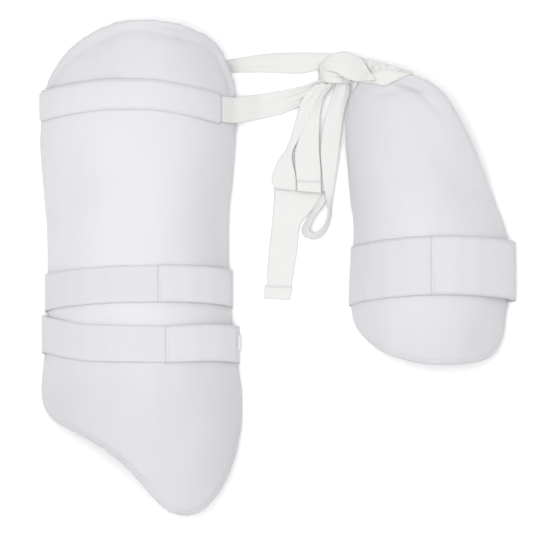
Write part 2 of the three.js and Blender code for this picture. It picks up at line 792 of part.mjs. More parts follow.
// The tape over the inner pad's top corner: it lies on the front and turns down behind the rim
function padWrap(pad) {
  const { left, width, top } = pad.spec;
  const half = tapeThickness / 2;
  const rings = wrapSections.map((row) => {
    const x = left + row.across * width;
    const low = top - row.low * tapeWidth;
    const turn = top - row.turn * tapeWidth;
    const onPad = pad.frontHeight(Math.max(x, left + (wrapMeetsPad / 2) * width), low);
    const arrived = (row.across - wrapLeavesKnot) / (wrapMeetsPad - wrapLeavesKnot);
    const lying = THREE.MathUtils.lerp(wrapKnotHeight, onPad, smooth(arrived));
    const z = lying + clearance + half + row.over * wrapArchHeight;
    const line = [
      [low, z],
      [(low + turn) / 2, z + half],
      [turn - wrapCorner, z],
      [turn, z - wrapCorner],
      [turn, z - wrapCorner - row.behind * tapeWidth],
    ];
    const faces = [[0, 1], [0, 1], [0.5, 0.9], [1, 0.3], [1, 0]];
    const outer = line.map(([y, up], i) => new THREE.Vector3(
      x, y + faces[i][0] * half, up + faces[i][1] * half,
    ));
    const inner = line.map(([y, up], i) => new THREE.Vector3(
      x, y - faces[i][0] * half, up - faces[i][1] * half,
    ));
    return [...outer, ...inner.reverse()];
  });
  const section = rings[0].map((point) => new THREE.Vector2(point.y, point.z));
  return solidThroughRings(rings, { section });
}

// The blank label tab sewn under the lower strap's right end
function sideLabel(pad) {
  const y = pad.spec.top - labelAlong * pad.spec.length;
  const way = movedOut(wayRound(pad, lowerStrapLine, outerStrapWidth), bandEase + elasticThickness);
  const side = way.filter((point) => point.outward.x > 0).sort((a, b) => a.z - b.z);
  const edge = readTable(side, 'z', 'x', labelHeight);
  const shape = new THREE.BoxGeometry(labelReach, labelLength, labelThickness);
  return shape.translate(edge + labelReach / 2 + 2 * clearance, y, labelHeight);
}

const outerPad = makePad({
  length: outerLength,
  width: outerWidth,
  left: outerLeft,
  top: outerTop,
  outline: outerOutline,
  rise: outerRise,
  crown: outerCrown,
  thickness: outerThickness,
  rimThickness: outerRimThickness,
  swellReach: 45,
  dents: outerDents,
  body: { leftFrom: 0.12, rightFrom: 0.12, to: 0.765 },
  valley: {
    depth: outerValleyDepth,
    fromEdge: outerValleyFromEdge,
    halfWidth: outerValleyHalfWidth,
    until: 0.12,
  },
});

const innerPad = makePad({
  length: innerLength,
  width: innerWidth,
  left: outerLeft + outerWidth + padGap,
  top: outerTop - innerBelowOuterTop,
  outline: innerOutline,
  rise: innerRise,
  crown: innerCrown,
  thickness: innerThickness,
  rimThickness: innerRimThickness,
  swellReach: 38,
  dents: innerDents,
  body: { leftFrom: 0.1, rightFrom: 0.43, to: 0.83 },
});

function piece(name, geometry, colour, roughness) {
  const material = new THREE.MeshStandardMaterial({ color: colour, roughness, metalness: 0 });
  const mesh = new THREE.Mesh(geometry, material);
  mesh.name = name;
  return mesh;
}

const guard = new THREE.Group();
guard.add(piece('outer_pad', outerPad.geometry, colours.cover, 0.6));
guard.add(piece('inner_pad', innerPad.geometry, colours.cover, 0.6));
guard.add(piece('upper_strap', strapLoop(outerPad, upperStrapLine, outerStrapWidth), colours.elastic, 0.8));
guard.add(piece('lower_strap', strapLoop(outerPad, lowerStrapLine, outerStrapWidth), colours.elastic, 0.8));
guard.add(piece('inner_strap', strapLoop(innerPad, innerStrapLine, innerStrapWidth), colours.elastic, 0.8));
guard.add(piece('upper_strap_patch',
  strapPatch(outerPad, upperStrapLine, outerStrapWidth, upperPatchStart), colours.patch, 0.9));
guard.add(piece('lower_strap_patch',
  strapPatch(outerPad, lowerStrapLine, outerStrapWidth, lowerPatchStart), colours.patch, 0.9));
guard.add(piece('inner_strap_patch',
  strapPatch(innerPad, innerStrapLine, innerStrapWidth, innerPatchStart), colours.patch, 0.9));

guard.add(piece('waist_tape', waistTape(outerPad), colours.tape, 0.8));
guard.add(piece('belt_sleeve', beltSleeve(outerPad), colours.cover, 0.7));
guard.add(piece('knot', knotLump(), colours.tape, 0.8));
guard.add(piece('pad_wrap', padWrap(innerPad), colours.tape, 0.8));
guard.add(piece('folded_strand', hangingTape(foldedStrand, shortTailReach), colours.tape, 0.8));
guard.add(piece('short_tail', hangingTape(shortTail, shortTailReach, shortTailHem), colours.tape, 0.8));
guard.add(piece('slack_loop', hangingTape(finerRows(slackLoop, 32), slackLoopReach), colours.tape, 0.8));
guard.add(piece('long_tail', hangingTape(longTail, longTailReach, longTailHem), colours.tape, 0.8));
guard.add(piece('side_label', sideLabel(outerPad), colours.label, 0.7));

// The origin is under the middle of the whole guard, on the floor
const box = new THREE.Box3().setFromObject(guard);
const middle = box.getCenter(new THREE.Vector3());
guard.children.forEach((mesh) => mesh.position.set(-middle.x, -middle.y, -box.min.z));

export default guard;
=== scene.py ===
"""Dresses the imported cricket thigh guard: padded cloth, elastic straps and a knotted cotton tape."""

import math

import bmesh
import bpy
import numpy as np
from mathutils import Matrix, Vector, geometry
from mathutils.bvhtree import BVHTree


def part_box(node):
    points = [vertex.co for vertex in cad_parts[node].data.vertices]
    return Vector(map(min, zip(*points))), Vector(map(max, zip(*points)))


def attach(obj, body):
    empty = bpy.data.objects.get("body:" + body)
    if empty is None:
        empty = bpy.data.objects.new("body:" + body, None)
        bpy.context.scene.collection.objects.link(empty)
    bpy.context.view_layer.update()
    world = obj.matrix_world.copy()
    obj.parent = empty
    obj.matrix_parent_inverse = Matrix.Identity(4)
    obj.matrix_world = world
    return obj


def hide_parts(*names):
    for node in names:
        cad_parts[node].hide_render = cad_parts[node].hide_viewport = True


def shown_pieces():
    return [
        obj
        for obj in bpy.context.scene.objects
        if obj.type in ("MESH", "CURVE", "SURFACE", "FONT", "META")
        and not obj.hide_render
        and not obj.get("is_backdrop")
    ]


bl_info = {
    "name": "Cricket thigh guard",
    "version": (1, 0, 0),
    "blender": (4, 2, 0),
    "location": "3D View > Sidebar > Thigh Guard",
    "description": "Builds the cloth, elastic and tape of a cricket thigh guard on its CAD frame",
    "category": "Object",
}

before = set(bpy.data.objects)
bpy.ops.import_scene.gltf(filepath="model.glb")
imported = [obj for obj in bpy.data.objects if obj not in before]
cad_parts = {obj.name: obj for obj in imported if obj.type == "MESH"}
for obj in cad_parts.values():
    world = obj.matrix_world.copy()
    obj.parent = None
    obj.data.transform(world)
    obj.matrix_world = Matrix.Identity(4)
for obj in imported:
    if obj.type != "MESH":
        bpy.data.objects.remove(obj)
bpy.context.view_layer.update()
MM = 0.001

# The knot's middle in the frame, in millimetres
KNOT_X, KNOT_Y = 55.8, 194.2

# Where a strap stands off its pad's right rim: from which x, over what reach and how far, in mm
STAND_OFF = {
    "inner_strap": (206, 24, 4.4),
    "upper_strap": (-60, 18, -0.6),
    "lower_strap": (-60, 18, -1.4),
}

# Distance between the rows of a strap's or belt's way round its pad
WAY_STEP = 2.5 * MM

# The sleeve over the waist tape: its width, the sewn edges', and in mm how far it stands off
# the pad and how much of that its edges come down
SLEEVE_WIDTH, SLEEVE_FLANGE = 31 * MM, 1.5 * MM
SLEEVE_LIFT, SLEEVE_DROP = 2.5, 1.9

# The upper tie's length, and that of the tape over the inner pad's corner
UPPER_TIE_LENGTH, WRAP_LENGTH = 150 * MM, 62 * MM

# How a pad's cover is blown up, for how many frames, and how far it may move
PUFF_CLOTH = {
    "quality": 4,
    "use_pressure": True,
    "uniform_pressure_force": 4.0,
    "tension_stiffness": 12,
    "compression_stiffness": 12,
    "bending_stiffness": 3,
}
PUFF_FRAMES, PUFF_MOST = 20, 2.2 * MM

# How far beside a band its pad swells up, how steeply, and the room left under the band
BAND_SWELL, BAND_SLOPE, BAND_ROOM = 14 * MM, 0.35, 0.25 * MM

# How many places a pad's rim is looked for at, how far out, and how many times it is halved
RIM_ROWS, RIM_REACH, RIM_HALVINGS = 360, 0.3, 13

# In mm, how far a tape's spare width lies below it where it is turned under
UNDER_DROP = 1.35

PIPING_RADIUS = 1.3 * MM

# From stitch to stitch, and half a stitch's length, width and height
STITCH_STEP, STITCH_HALF = 3.2 * MM, (1.25 * MM, 0.32 * MM, 0.3 * MM, 1)

# How far a strap end lies over its strap
PATCH_LIFT = 0.3 * MM

# How far in from a strap end's edges its seams and corner rows run, and half a corner row
SEAM_IN, TACK_IN, TACK_HALF = 2.2 * MM, 3.0 * MM, 2.6 * MM

# How far the sewn pieces are let out over the CAD solids, in mm: at these x, this much in x
LET_OUT_AT = (-236, -136, -37, 56, 72, 150, 232)
LET_OUT = (-4.8, -1.4, 2.0, 0.6, -1.6, 0.0, 1.4)

# Numbers and lines


def smooth(value):
    share = np.clip(value, 0.0, 1.0)
    return share * share * (3.0 - 2.0 * share)


def past(value, start, reach):
    """A share that eases from 0 at a start to 1 over a reach, or below it for a reach under 0."""
    return smooth((value - start) / reach)


def curved(rows, count):
    """A smooth curve through rows of numbers, read at many steps."""
    rows = np.asarray(rows, dtype=float)
    last = len(rows) - 1
    at = np.linspace(0.0, last, count)
    first = np.minimum(at.astype(int), last - 1)
    f = (at - first)[:, None]
    a, b, c, d = (rows[np.clip(first + step, 0, last)] for step in (-1, 0, 1, 2))
    return 0.5 * (
        2 * b
        + (c - a) * f
        + (2 * a - 5 * b + 4 * c - d) * f**2
        + (3 * b - a - 3 * c + d) * f**3
    )


def ring(rows):
    """Rows with the first one once more at their end."""
    return np.vstack([rows, rows[:1]])


def gaps_along(rows):
    """The distances from row to row; the first three columns are a row's place."""
    return np.linalg.norm(np.diff(rows[:, :3], axis=0), axis=1)


def line_length(rows, closed=False):
    return float(gaps_along(ring(rows) if closed else rows).sum())


def evened(rows, step, closed=False):
    """The same line with its rows at even steps along it."""
    rows = np.asarray(rows, dtype=float)
    if closed:
        rows = ring(rows)
    rows = rows[np.append(True, gaps_along(rows) > 1e-7)]
    reach = np.append(0.0, np.cumsum(gaps_along(rows)))
    count = max(2, int(round(reach[-1] / step)))
    at = np.linspace(0.0, reach[-1], count + 1)
    if closed:
        at = at[:-1]
    return np.column_stack([np.interp(at, reach, column) for column in rows.T])


def softened(rows, times, closed=False):
    """Rounds a line's corners by averaging each row with its neighbours; open ends stay."""
    rows = np.array(rows, dtype=float)
    for _ in range(times):
        if closed:
            rows = (np.roll(rows, 1, axis=0) + 2 * rows + np.roll(rows, -1, axis=0)) / 4
        else:
            rows[1:-1] = (rows[:-2] + 2 * rows[1:-1] + rows[2:]) / 4
    return rows


def unit(rows):
    return rows / np.maximum(np.linalg.norm(rows, axis=-1, keepdims=True), 1e-12)


def tangents(line, closed=False):
    if closed:
        return unit(np.roll(line, -1, axis=0) - np.roll(line, 1, axis=0))
    return unit(np.gradient(line, axis=0))


def mesh_points(mesh, key="co"):
    """The places of a mesh's points as rows, or their normals."""
    numbers = np.empty(len(mesh.vertices) * 3)
    mesh.vertices.foreach_get(key, numbers)
    return numbers.reshape(-1, 3)


def set_points(mesh, points):
    mesh.vertices.foreach_set("co", np.asarray(points, dtype=float).ravel())
    mesh.update()


def wobble(x, y, seed):
    """A soft unevenness between -1 and 1, the same on each run."""
    return (
        np.sin(x * 1.0 + seed * 1.7) * np.cos(y * 1.3 + seed * 2.3)
        + 0.6 * np.sin(x * 2.3 - y * 1.1 + seed * 0.9)
        + 0.4 * np.cos(x * 3.1 + y * 2.7 + seed * 3.1)
    ) / 2.0


# Objects and materials


def shade_smooth(mesh):
    for face in mesh.polygons:
        face.use_smooth = True


def add_object(name, data):
    thing = bpy.data.objects.new(name, data)
    bpy.context.scene.collection.objects.link(thing)
    return thing


def from_bmesh(name, shape, finish):
    mesh = bpy.data.meshes.new(name)
    shape.to_mesh(mesh)
    shape.free()
    mesh.materials.append(material_named(finish))
    shade_smooth(mesh)
    return add_object(name, mesh)


def modify(thing, kind, **settings):
    """Adds a modifier with these settings."""
    modifier = thing.modifiers.new(kind.title(), kind)
    for key, value in settings.items():
        setattr(modifier, key, value)
    return modifier


def apply_modifiers(thing):
    """Puts the result of a thing's modifiers into its mesh."""
    depsgraph = bpy.context.evaluated_depsgraph_get()
    made = bpy.data.meshes.new_from_object(thing.evaluated_get(depsgraph), depsgraph=depsgraph)
    thing.modifiers.clear()
    old = thing.data
    thing.data = made
    bpy.data.meshes.remove(old)


class Nodes:
    """Short calls for building a material's nodes."""

    def __init__(self, name):
        self.material = bpy.data.materials.new(name)
        self.material.use_nodes = True
        self.tree = self.material.node_tree
        self.shader = self.tree.nodes["Principled BSDF"]
        self.relief = None

    def feed(self, socket, value):
        """Gives an input a value, or another node's output."""
        if isinstance(value, bpy.types.NodeSocket):
            self.tree.links.new(value, socket)
        else:
            socket.default_value = value

    def add(self, kind, output=0, **settings):
        """One output of a new node. Each setting is a property or an input of the node."""
        node = self.tree.nodes.new(kind)
        for key, value in settings.items():
            if hasattr(node, key):
                setattr(node, key, value)
            else:
                self.feed(node.inputs[key.replace("_", " ")], value)
        return node.outputs[output]

    def on_object(self, scale=(1, 1, 1)):
        place = self.add("ShaderNodeTexCoord", "Object")
        return self.add("ShaderNodeMapping", Vector=place, Scale=scale)

    def on_cloth(self, scale=(1, 1, 1)):
        flat = self.add("ShaderNodeUVMap", uv_map="cloth")
        return self.add("ShaderNodeMapping", Vector=flat, Scale=scale)

    def noise(self, vector, scale, detail=2.0):
        return self.add("ShaderNodeTexNoise", "Fac", Vector=vector, Scale=scale, Detail=detail)

    def wave(self, vector, direction, scale, distortion=0.0):
        return self.add(
            "ShaderNodeTexWave", "Fac", wave_type="BANDS", bands_direction=direction,
            Vector=vector, Scale=scale, Distortion=distortion,
        )

    def math(self, operation, first, second):
        result = self.add("ShaderNodeMath", operation=operation)
        for socket, value in zip(result.node.inputs, (first, second)):
            self.feed(socket, value)
        return result

    def bump(self, height, strength, distance):
        """Adds a relief over the one before it."""
        normal = self.add("ShaderNodeBump", Height=height, Strength=strength, Distance=distance)
        if self.relief:
            self.feed(normal.node.inputs["Normal"], self.relief)
        self.feed(self.shader.inputs["Normal"], normal)
        self.relief = normal

    def mixed_colour(self, factor, light, dark, painted_shade=None):
        colour = self.add("ShaderNodeValToRGB", Fac=factor)
        ends = colour.node.color_ramp.elements
        ends[0].color = (*dark, 1)
        ends[1].color = (*light, 1)
        # A painted shade factor, when given, scales the colour down where shade is painted
        if painted_shade:
            colour = self.add(
                "ShaderNodeVectorMath", "Vector", operation="SCALE", Vector=colour, Scale=painted_shade
            )
        self.feed(self.shader.inputs["Base Color"], colour)

    def ramp_along(self, axis, start, end, first, last):
        """A number that eases from first to last between two places along an axis, in mm."""
        place = self.add("ShaderNodeTexCoord", "Object")
        return self.add(
            "ShaderNodeMapRange", interpolation_type="SMOOTHSTEP",
            Value=self.add("ShaderNodeSeparateXYZ", axis, Vector=place),
            From_Min=start * MM, From_Max=end * MM, To_Min=first, To_Max=last,
        )

    def finish(self, roughness, sheen=0.1):
        self.shader.inputs["Roughness"].default_value = roughness
        self.shader.inputs["Sheen Weight"].default_value = sheen
        return self.material


def shade(colour, share):
    return tuple(channel * share for channel in colour[:3])


def cover_cloth(colour):
    """Smooth white cover cloth with a fine soft grain, and painted shade towards its bottom, its top
    and its right side.
    """
    made = Nodes("cover_cloth")
    place = made.on_object()
    grain = made.noise(place, 900.0, 3.0)
    soft = made.noise(place, 55.0)
    blotches = made.noise(made.on_object((1.0, 0.6, 1.0)), 16.0, 4.0)
    # Painted shade: the colour is darker towards the bottom, towards the top and to the right, where
    # the pads look shaded
    foot = made.ramp_along("Y", -150, -20, 0.90, 1.0)
    head = made.ramp_along("Y", 150, 215, 1.0, 0.93)
    side = made.ramp_along("X", -130, -50, 1.0, 0.955)
    painted_shade = made.math("MULTIPLY", made.math("MULTIPLY", foot, head), side)
    made.mixed_colour(blotches, shade(colour, 1.04), shade(colour, 0.93), painted_shade)
    made.bump(soft, 0.3, 0.0012)
    made.bump(grain, 0.18, 0.00025)
    return made.finish(0.68, 0.12)


def ribbed_elastic(colour):
    """Knitted elastic with ribs along its length and short cross threads."""
    made = Nodes("ribbed_elastic")
    place = made.on_cloth()
    ribs = made.wave(place, "Y", 165.0)
    cross = made.wave(place, "X", 240.0, 0.6)
    uneven = made.noise(made.on_cloth((60, 420, 1)), 1.0)
    height = made.math("ADD", ribs, made.math("MULTIPLY", cross, 0.35))
    height = made.math("ADD", height, made.math("MULTIPLY", uneven, 0.9))
    made.mixed_colour(height, colour[:3], shade(colour, 0.955))
    made.bump(height, 0.35, 0.0004)
    return made.finish(0.82, 0.2)


def loop_patch(colour):
    """Brushed hook-and-loop cloth with a faint grid from its stitching."""
    made = Nodes("loop_patch")
    place = made.on_cloth()
    fuzz = made.noise(made.on_cloth((900, 900, 1)), 1.0, 3.0)
    across = made.wave(place, "Y", 120.0, 0.3)
    along = made.wave(place, "X", 120.0, 0.3)
    grid = made.math("MINIMUM", across, along)
    height = made.math("ADD", made.math("MULTIPLY", grid, 0.8), fuzz)
    made.mixed_colour(height, colour[:3], shade(colour, 0.955))
    made.bump(height, 0.35, 0.0004)
    return made.finish(0.9, 0.25)


def woven_tape(colour):
    """Soft white cotton tape in a close plain weave."""
    made = Nodes("woven_tape")
    place = made.on_cloth()
    warp = made.wave(place, "Y", 330.0)
    weft = made.wave(place, "X", 400.0)
    crumple = made.noise(made.on_cloth((150, 60, 1)), 1.0, 3.0)
    weave = made.math("MULTIPLY", warp, weft)
    made.mixed_colour(made.math("ADD", weave, 0.35), colour[:3], shade(colour, 0.93))
    made.bump(crumple, 0.12, 0.0012)
    made.bump(weave, 0.3, 0.0003)
    return made.finish(0.85, 0.2)


def plain_cloth(name, colour, roughness):
    made = Nodes(name)
    made.shader.inputs["Base Color"].default_value = colour
    return made.finish(roughness)


# Sheets and tapes


def sheet_mesh(name, steps, length, width, place, finish, thickness=0.0, joined=False):
    """A sheet from a flat grid. place(along, across) gives where each point of it lies.

    Its UV map, cloth, holds metres along and across the flat sheet.
    """
    shape = bmesh.new()
    cloth = shape.loops.layers.uv.new("cloth")
    bmesh.ops.create_grid(shape, x_segments=steps[0], y_segments=steps[1], size=0.5)
    shape.verts.ensure_lookup_table()
    flat = np.array([vertex.co[:2] for vertex in shape.verts]) + 0.5
    for face in shape.faces:
        for loop in face.loops:
            along, across = flat[loop.vert.index]
            loop[cloth].uv = (along * length, across * width)
    places = place(flat[:, 0], flat[:, 1])
    for vertex, point in zip(shape.verts, places):
        vertex.co = point
    if joined:
        bmesh.ops.remove_doubles(shape, verts=shape.verts, dist=1e-6)
    bmesh.ops.recalc_face_normals(shape, faces=shape.faces)
    made = from_bmesh(name, shape, finish)
    if thickness:
        modify(made, "SOLIDIFY", thickness=thickness, offset=0.0, use_even_offset=False)
    return made


def sideways(share, width):
    """How far from a band's middle, along Y, each share of its width lies."""
    return (share - 0.5)[:, None] * np.array([0.0, width, 0.0])


def lifted(places, out, lift):
    """Places moved outward by so many millimetres each."""
    return places + out * (lift * MM)[:, None]


def between(rows, share):
    """Places at a share of the way from each row's first edge to its second."""
    return rows[:, :3] * (1 - share)[:, None] + rows[:, 3:6] * share[:, None]


def read_rows(rows, along, closed=False):
    """Rows of numbers read at shares from 0 to 1 along them."""
    if closed:
        rows = ring(rows)
    at = np.clip(along, 0.0, 1.0) * (len(rows) - 1)
    first = np.minimum(at.astype(int), len(rows) - 2)
    share = (at - first)[:, None]
    return rows[first] * (1 - share) + rows[first + 1] * share


def way_round(node):
    """The outer line a strap takes round its pad, read off its CAD solid as rows of x, y and z."""
    points = mesh_points(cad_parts[node].data)
    hull = geometry.convex_hull_2d([(x, z) for x, _, z in points])
    rows = []
    for index in hull:
        x, _, z = points[index]
        here = np.hypot(points[:, 0] - x, points[:, 2] - z) < 0.2 * MM
        middle = (points[here, 1].min() + points[here, 1].max()) / 2
        rows.append((x, middle, z))
    return np.array(rows)


def outward_of(line):
    """The direction away from the pad, in the XZ plane, at each row of a closed way."""
    along = tangents(line, closed=True)
    out = unit(np.column_stack([along[:, 2], np.zeros(len(line)), -along[:, 0]]))
    if ((line - line.mean(axis=0)) * out).sum() < 0:
        out = -out
    return out


def closed_way(node):
    line = softened(evened(way_round(node), WAY_STEP, closed=True), 3, closed=True)
    if node in STAND_OFF:
        start, reach, away = STAND_OFF[node]
        line[:, 0] += away * MM * past(line[:, 0] / MM, start, reach)
    return line


def strap(node, width):
    """A strap all the way round its pad, with edges that waver a little."""
    thickness = bpy.context.scene.guard_sizes.elastic_thickness
    line = closed_way(node)
    out = outward_of(line)
    length = line_length(line, closed=True)
    table = np.hstack([line - out * thickness / 2, out])

    def place(along, across):
        rows = read_rows(table, along, closed=True)
        turn = np.column_stack([np.cos(along * math.tau), np.sin(along * math.tau)])
        ripple = wobble(turn[:, 0] * 9, turn[:, 1] * 9 + across * 2, width)
        edge = past(np.abs(across - 0.5), 0.3, 0.2)
        moved = lifted(rows[:, :3] + sideways(across, width), rows[:, 3:], ripple * 0.16)
        moved[:, 1] += edge * ripple * 0.35 * MM
        return moved

    made = sheet_mesh(
        f"{node}_elastic", (190, 14), length, width, place, "elastic", thickness, joined=True
    )
    return made, length


def front_way(line, start, end_height):
    """The part of a way over the front, from a place in X to a height on the right side."""
    rows = np.hstack([line, outward_of(line)])
    over = rows[(rows[:, 5] > -0.2) & (rows[:, 0] >= start)]
    over = over[(over[:, 5] > 0.5) | (over[:, 2] > end_height)]
    order = np.lexsort((-over[:, 2], np.round(over[:, 0] / MM)))
    return over[order]


def strap_patch(node, width):
    """The hook-and-loop end over its strap, from the seam to just round the right rim."""
    thickness = bpy.context.scene.guard_sizes.patch_thickness
    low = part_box(f"{node}_patch")[0]
    rows = front_way(closed_way(node), low.x, low.z)
    line = rows[:, :3] + rows[:, 3:] * (PATCH_LIFT + thickness / 2)
    rows = evened(np.hstack([line, rows[:, 3:]]), WAY_STEP)
    length = line_length(rows)

    def place(along, across):
        read = read_rows(rows, along)
        ripple = wobble(along * 12, across * 3, width + 4)
        near_end = past(along, 1 / 14, -1 / 14) + past(along, 0.93, 1 / 14)
        lift = ripple * 0.2 - near_end * 0.25
        return lifted(read[:, :3] + sideways(across, width), read[:, 3:6], lift)

    made = sheet_mesh(f"{node}_end", (60, 14), length, width, place, "patch", thickness)
    return made, length, patch_seams(rows, width, thickness)


def belt_way(width):
    """The way of a taut band of a width, as rows of place and direction, along BELT_LINE."""
    line = np.array(BELT_LINE) * MM
    points = mesh_points(bpy.data.objects["outer_pad_cover"].data)
    low = line[:, 1].min() - width / 2
    high = line[:, 1].max() + width / 2
    near = points[(points[:, 1] > low) & (points[:, 1] < high)]
    hull = geometry.convex_hull_2d([(x, z) for x, _, z in near])
    way = near[hull]
    way[:, 1] = 0.0
    way = softened(evened(way, WAY_STEP, closed=True), 2, closed=True)
    out = outward_of(way)
    way[:, 1] = np.interp(way[:, 0], line[:, 0], line[:, 1])
    rows = np.hstack([way, out])
    start = int(rows[:, 0].argmax())
    rows = np.roll(rows, -start, axis=0)
    if rows[len(rows) // 4, 2] < rows[3 * len(rows) // 4, 2]:
        rows = rows[::-1]
    return rows


def at_knot(rows):
    """Turns places right of, below and above the knot's middle, in mm, to places in the frame."""
    rows = np.array(rows, dtype=float)
    for first in range(0, rows.shape[1] - 2, 3):
        rows[:, first] = (KNOT_X + rows[:, first]) * MM
        rows[:, first + 1] = (KNOT_Y - 1.01 * rows[:, first + 1]) * MM
        rows[:, first + 2] = rows[:, first + 2] * MM
    return rows


def tape_table(rows, step, times):
    """A tape's rows of middle and two edges, evened: both edges, its face's direction and width."""
    rows = softened(evened(rows, step), times)
    across = rows[:, 6:9] - rows[:, 3:6]
    out = unit(np.cross(unit(across), tangents(rows[:, :3])))
    wide = np.linalg.norm(across, axis=1, keepdims=True)
    return np.hstack([rows[:, 3:9], out, wide]), line_length(rows)


def edge_tape(name, rows, looks, surface=None):
    """A tape between its two edge lines, given as rows of left place and right place.

    looks: crown is how far its middle stands up, creases are (share across, depth, width) lines
    along it, and under is the side, -1 or 1, on which the rest of its width is turned under.
    gather is how many soft folds fade out from its start, how deep they are and over what share
    of its length. ripple is its unevenness, thick its thickness in tapes, and clear how far it
    stays above a surface.
    """
    sizes = bpy.context.scene.guard_sizes
    width, thickness = sizes.tape_width, sizes.tape_thickness * looks.get("thick", 1.0)
    rows = at_knot(rows)
    both = np.hstack([(rows[:, :3] + rows[:, 3:6]) / 2, rows])
    table, length = tape_table(curved(both, 16 * len(rows)), 1.6 * MM, 2)
    table[:, 6:9] *= np.where(table[:, 8:9] < 0, -1.0, 1.0)

    def place(along, share):
        read = read_rows(table, along)
        turned = 0.0
        if "under" in looks:
            share, turned = turned_under(share, read[:, 9], width, looks["under"])
        lift = looks.get("crown", 0.0) * (1 - (2 * share - 1) ** 2) - turned
        if "gather" in looks:
            count, deep, reach = looks["gather"]
            lift = lift + deep * np.cos(math.tau * count * share) * smooth(1 - along / reach)
        for at, deep, broad in looks.get("creases", ()):
            lift = lift - deep * np.exp(-(((share - at) / broad) ** 2))
        lift = lift + looks.get("ripple", 0.25) * wobble(along * length * 60, share * 2.5, length * 50)
        points = lifted(between(read, share), read[:, 6:9], lift)
        if "clear" in looks:
            least = heights_on(surface, points) + looks["clear"] * MM
            points[:, 2] = np.maximum(points[:, 2], least)
        return points

    steps = (max(12, int(length / (2.0 * MM))), 24 if "under" in looks else 16)
    return sheet_mesh(name, steps, length, width, place, "tape", thickness), length


def turned_under(share, wide, width, side):
    """Where each part of a tape lies when its spare width is folded back under one edge."""
    spare = np.clip(width - wide, 0.0, 0.9 * wide)
    top = wide / (wide + spare)
    if side < 0:
        share = 1 - share
    folded = np.maximum(0.0, share - top) / np.maximum(1 - top, 1e-6)
    across = np.minimum(share / top, 1.0) - folded * spare / wide
    down = UNDER_DROP * past(share, top - 0.025, 0.05)
    if side < 0:
        across = 1 - across
    return across, down


def seen_from_above(tree, x, y):
    """Where a line straight down meets a surface, or None."""
    return tree.ray_cast(Vector((x, y, 1.0)), Vector((0, 0, -1)))[0]


def heights_on(tree, points):
    """How high a surface stands under each point, or far below where it has none."""
    hits = [seen_from_above(tree, x, y) for x, y, _ in points]
    return np.array([-1.0 if hit is None else hit.z for hit in hits])


def join_tapes(name, tapes):
    """Puts the finished meshes of several tapes into one."""
    shape = bmesh.new()
    for tape in tapes:
        apply_modifiers(tape)
        shape.from_mesh(tape.data)
        bpy.data.objects.remove(tape)
    return from_bmesh(name, shape, "tape")


def stitches(name, slot, lines):
    """Short raised stitches along lines of place and outward direction."""
    shape = bmesh.new()
    for rows in lines:
        rows = evened(rows, STITCH_STEP)
        along = tangents(rows[:, :3])
        for place, out, way in zip(rows[:, :3], rows[:, 3:6], along):
            side = Vector(way).cross(Vector(out)).normalized()
            turn = Matrix((way, side, out)).transposed().to_4x4()
            where = Matrix.Translation(Vector(place) + Vector(out) * 0.1 * MM)
            matrix = where @ turn @ Matrix.Diagonal(STITCH_HALF)
            bmesh.ops.create_icosphere(shape, subdivisions=1, radius=1, matrix=matrix)
    settle(from_bmesh(name, shape, "thread"), slot)


def with_out(line, out):
    """A stitch line whose stitches all face one way."""
    return np.hstack([line, np.tile(out, (len(line), 1))])


def patch_seams(rows, width, thickness):
    """Stitch lines round a strap end, and a short close row in each of its outer corners."""
    seams = []
    top = rows.copy()
    top[:, :3] += rows[:, 3:] * (thickness * 0.5 - 0.05 * MM)
    seam_reach = np.array([0.0, width / 2 - SEAM_IN, 0.0])
    tack_reach = np.array([0.0, width / 2 - TACK_IN, 0.0])
    for sign in (-1, 1):
        seam = top[1:-1].copy()
        seam[:, :3] += sign * seam_reach
        seams.append(seam)
    for index in (1, -3):
        line = top[index, :3] + np.linspace(-1, 1, 14)[:, None] * seam_reach
        seams.append(with_out(line, rows[index, 3:]))
    for sign in (-1, 1):
        middle = top[-6, :3] + sign * tack_reach
        line = middle + np.linspace(-1, 1, 5)[:, None] * np.array([TACK_HALF, 0.0, 0.0])
        seams.append(with_out(line, rows[-6, 3:]))
    return seams


# Padded pieces


def cad_copy(node, name):
    """A merged copy of a CAD node, with its triangles joined to quads."""
    shape = bmesh.new()
    shape.from_mesh(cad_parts[node].data)
    bmesh.ops.remove_doubles(shape, verts=shape.verts, dist=1e-5)
    bmesh.ops.join_triangles(
        shape, faces=shape.faces, angle_face_threshold=0.7, angle_shape_threshold=1.4
    )
    bmesh.ops.recalc_face_normals(shape, faces=shape.faces)
    return from_bmesh(name, shape, "cover")


def rim_of(tree, middle):
    """The outline of a pad seen from above, as rows of x, y and z at even angles round a middle."""
    rows = []
    for step in range(RIM_ROWS):
        angle = math.tau * step / RIM_ROWS
        way = Vector((math.cos(angle), math.sin(angle), 0))
        inside, outside = 0.0, RIM_REACH
        for _ in range(RIM_HALVINGS):
            radius = (inside + outside) / 2
            spot = middle + way * radius
            hit = seen_from_above(tree, spot.x, spot.y)
            if hit is None:
                outside = radius
            else:
                inside, found = radius, hit
        rows.append(tuple(found))
    return np.array(rows)


def puff(thing):
    """Blows a pad's cover up a little with cloth under pressure, and caps how far it moves."""
    before = mesh_points(thing.data)
    cloth = modify(thing, "CLOTH")
    for key, value in PUFF_CLOTH.items():
        setattr(cloth.settings, key, value)
    cloth.settings.effector_weights.gravity = 0.0
    cloth.collision_settings.use_collision = False
    scene = bpy.context.scene
    for number in range(PUFF_FRAMES):
        scene.frame_set(number + 1)
    depsgraph = bpy.context.evaluated_depsgraph_get()
    after = mesh_points(thing.evaluated_get(depsgraph).to_mesh())
    thing.modifiers.remove(cloth)
    scene.frame_set(1)
    move = after - before
    size = np.linalg.norm(move, axis=1, keepdims=True)
    move *= np.minimum(1.0, PUFF_MOST / np.maximum(size, 1e-9))
    set_points(thing.data, before + move)


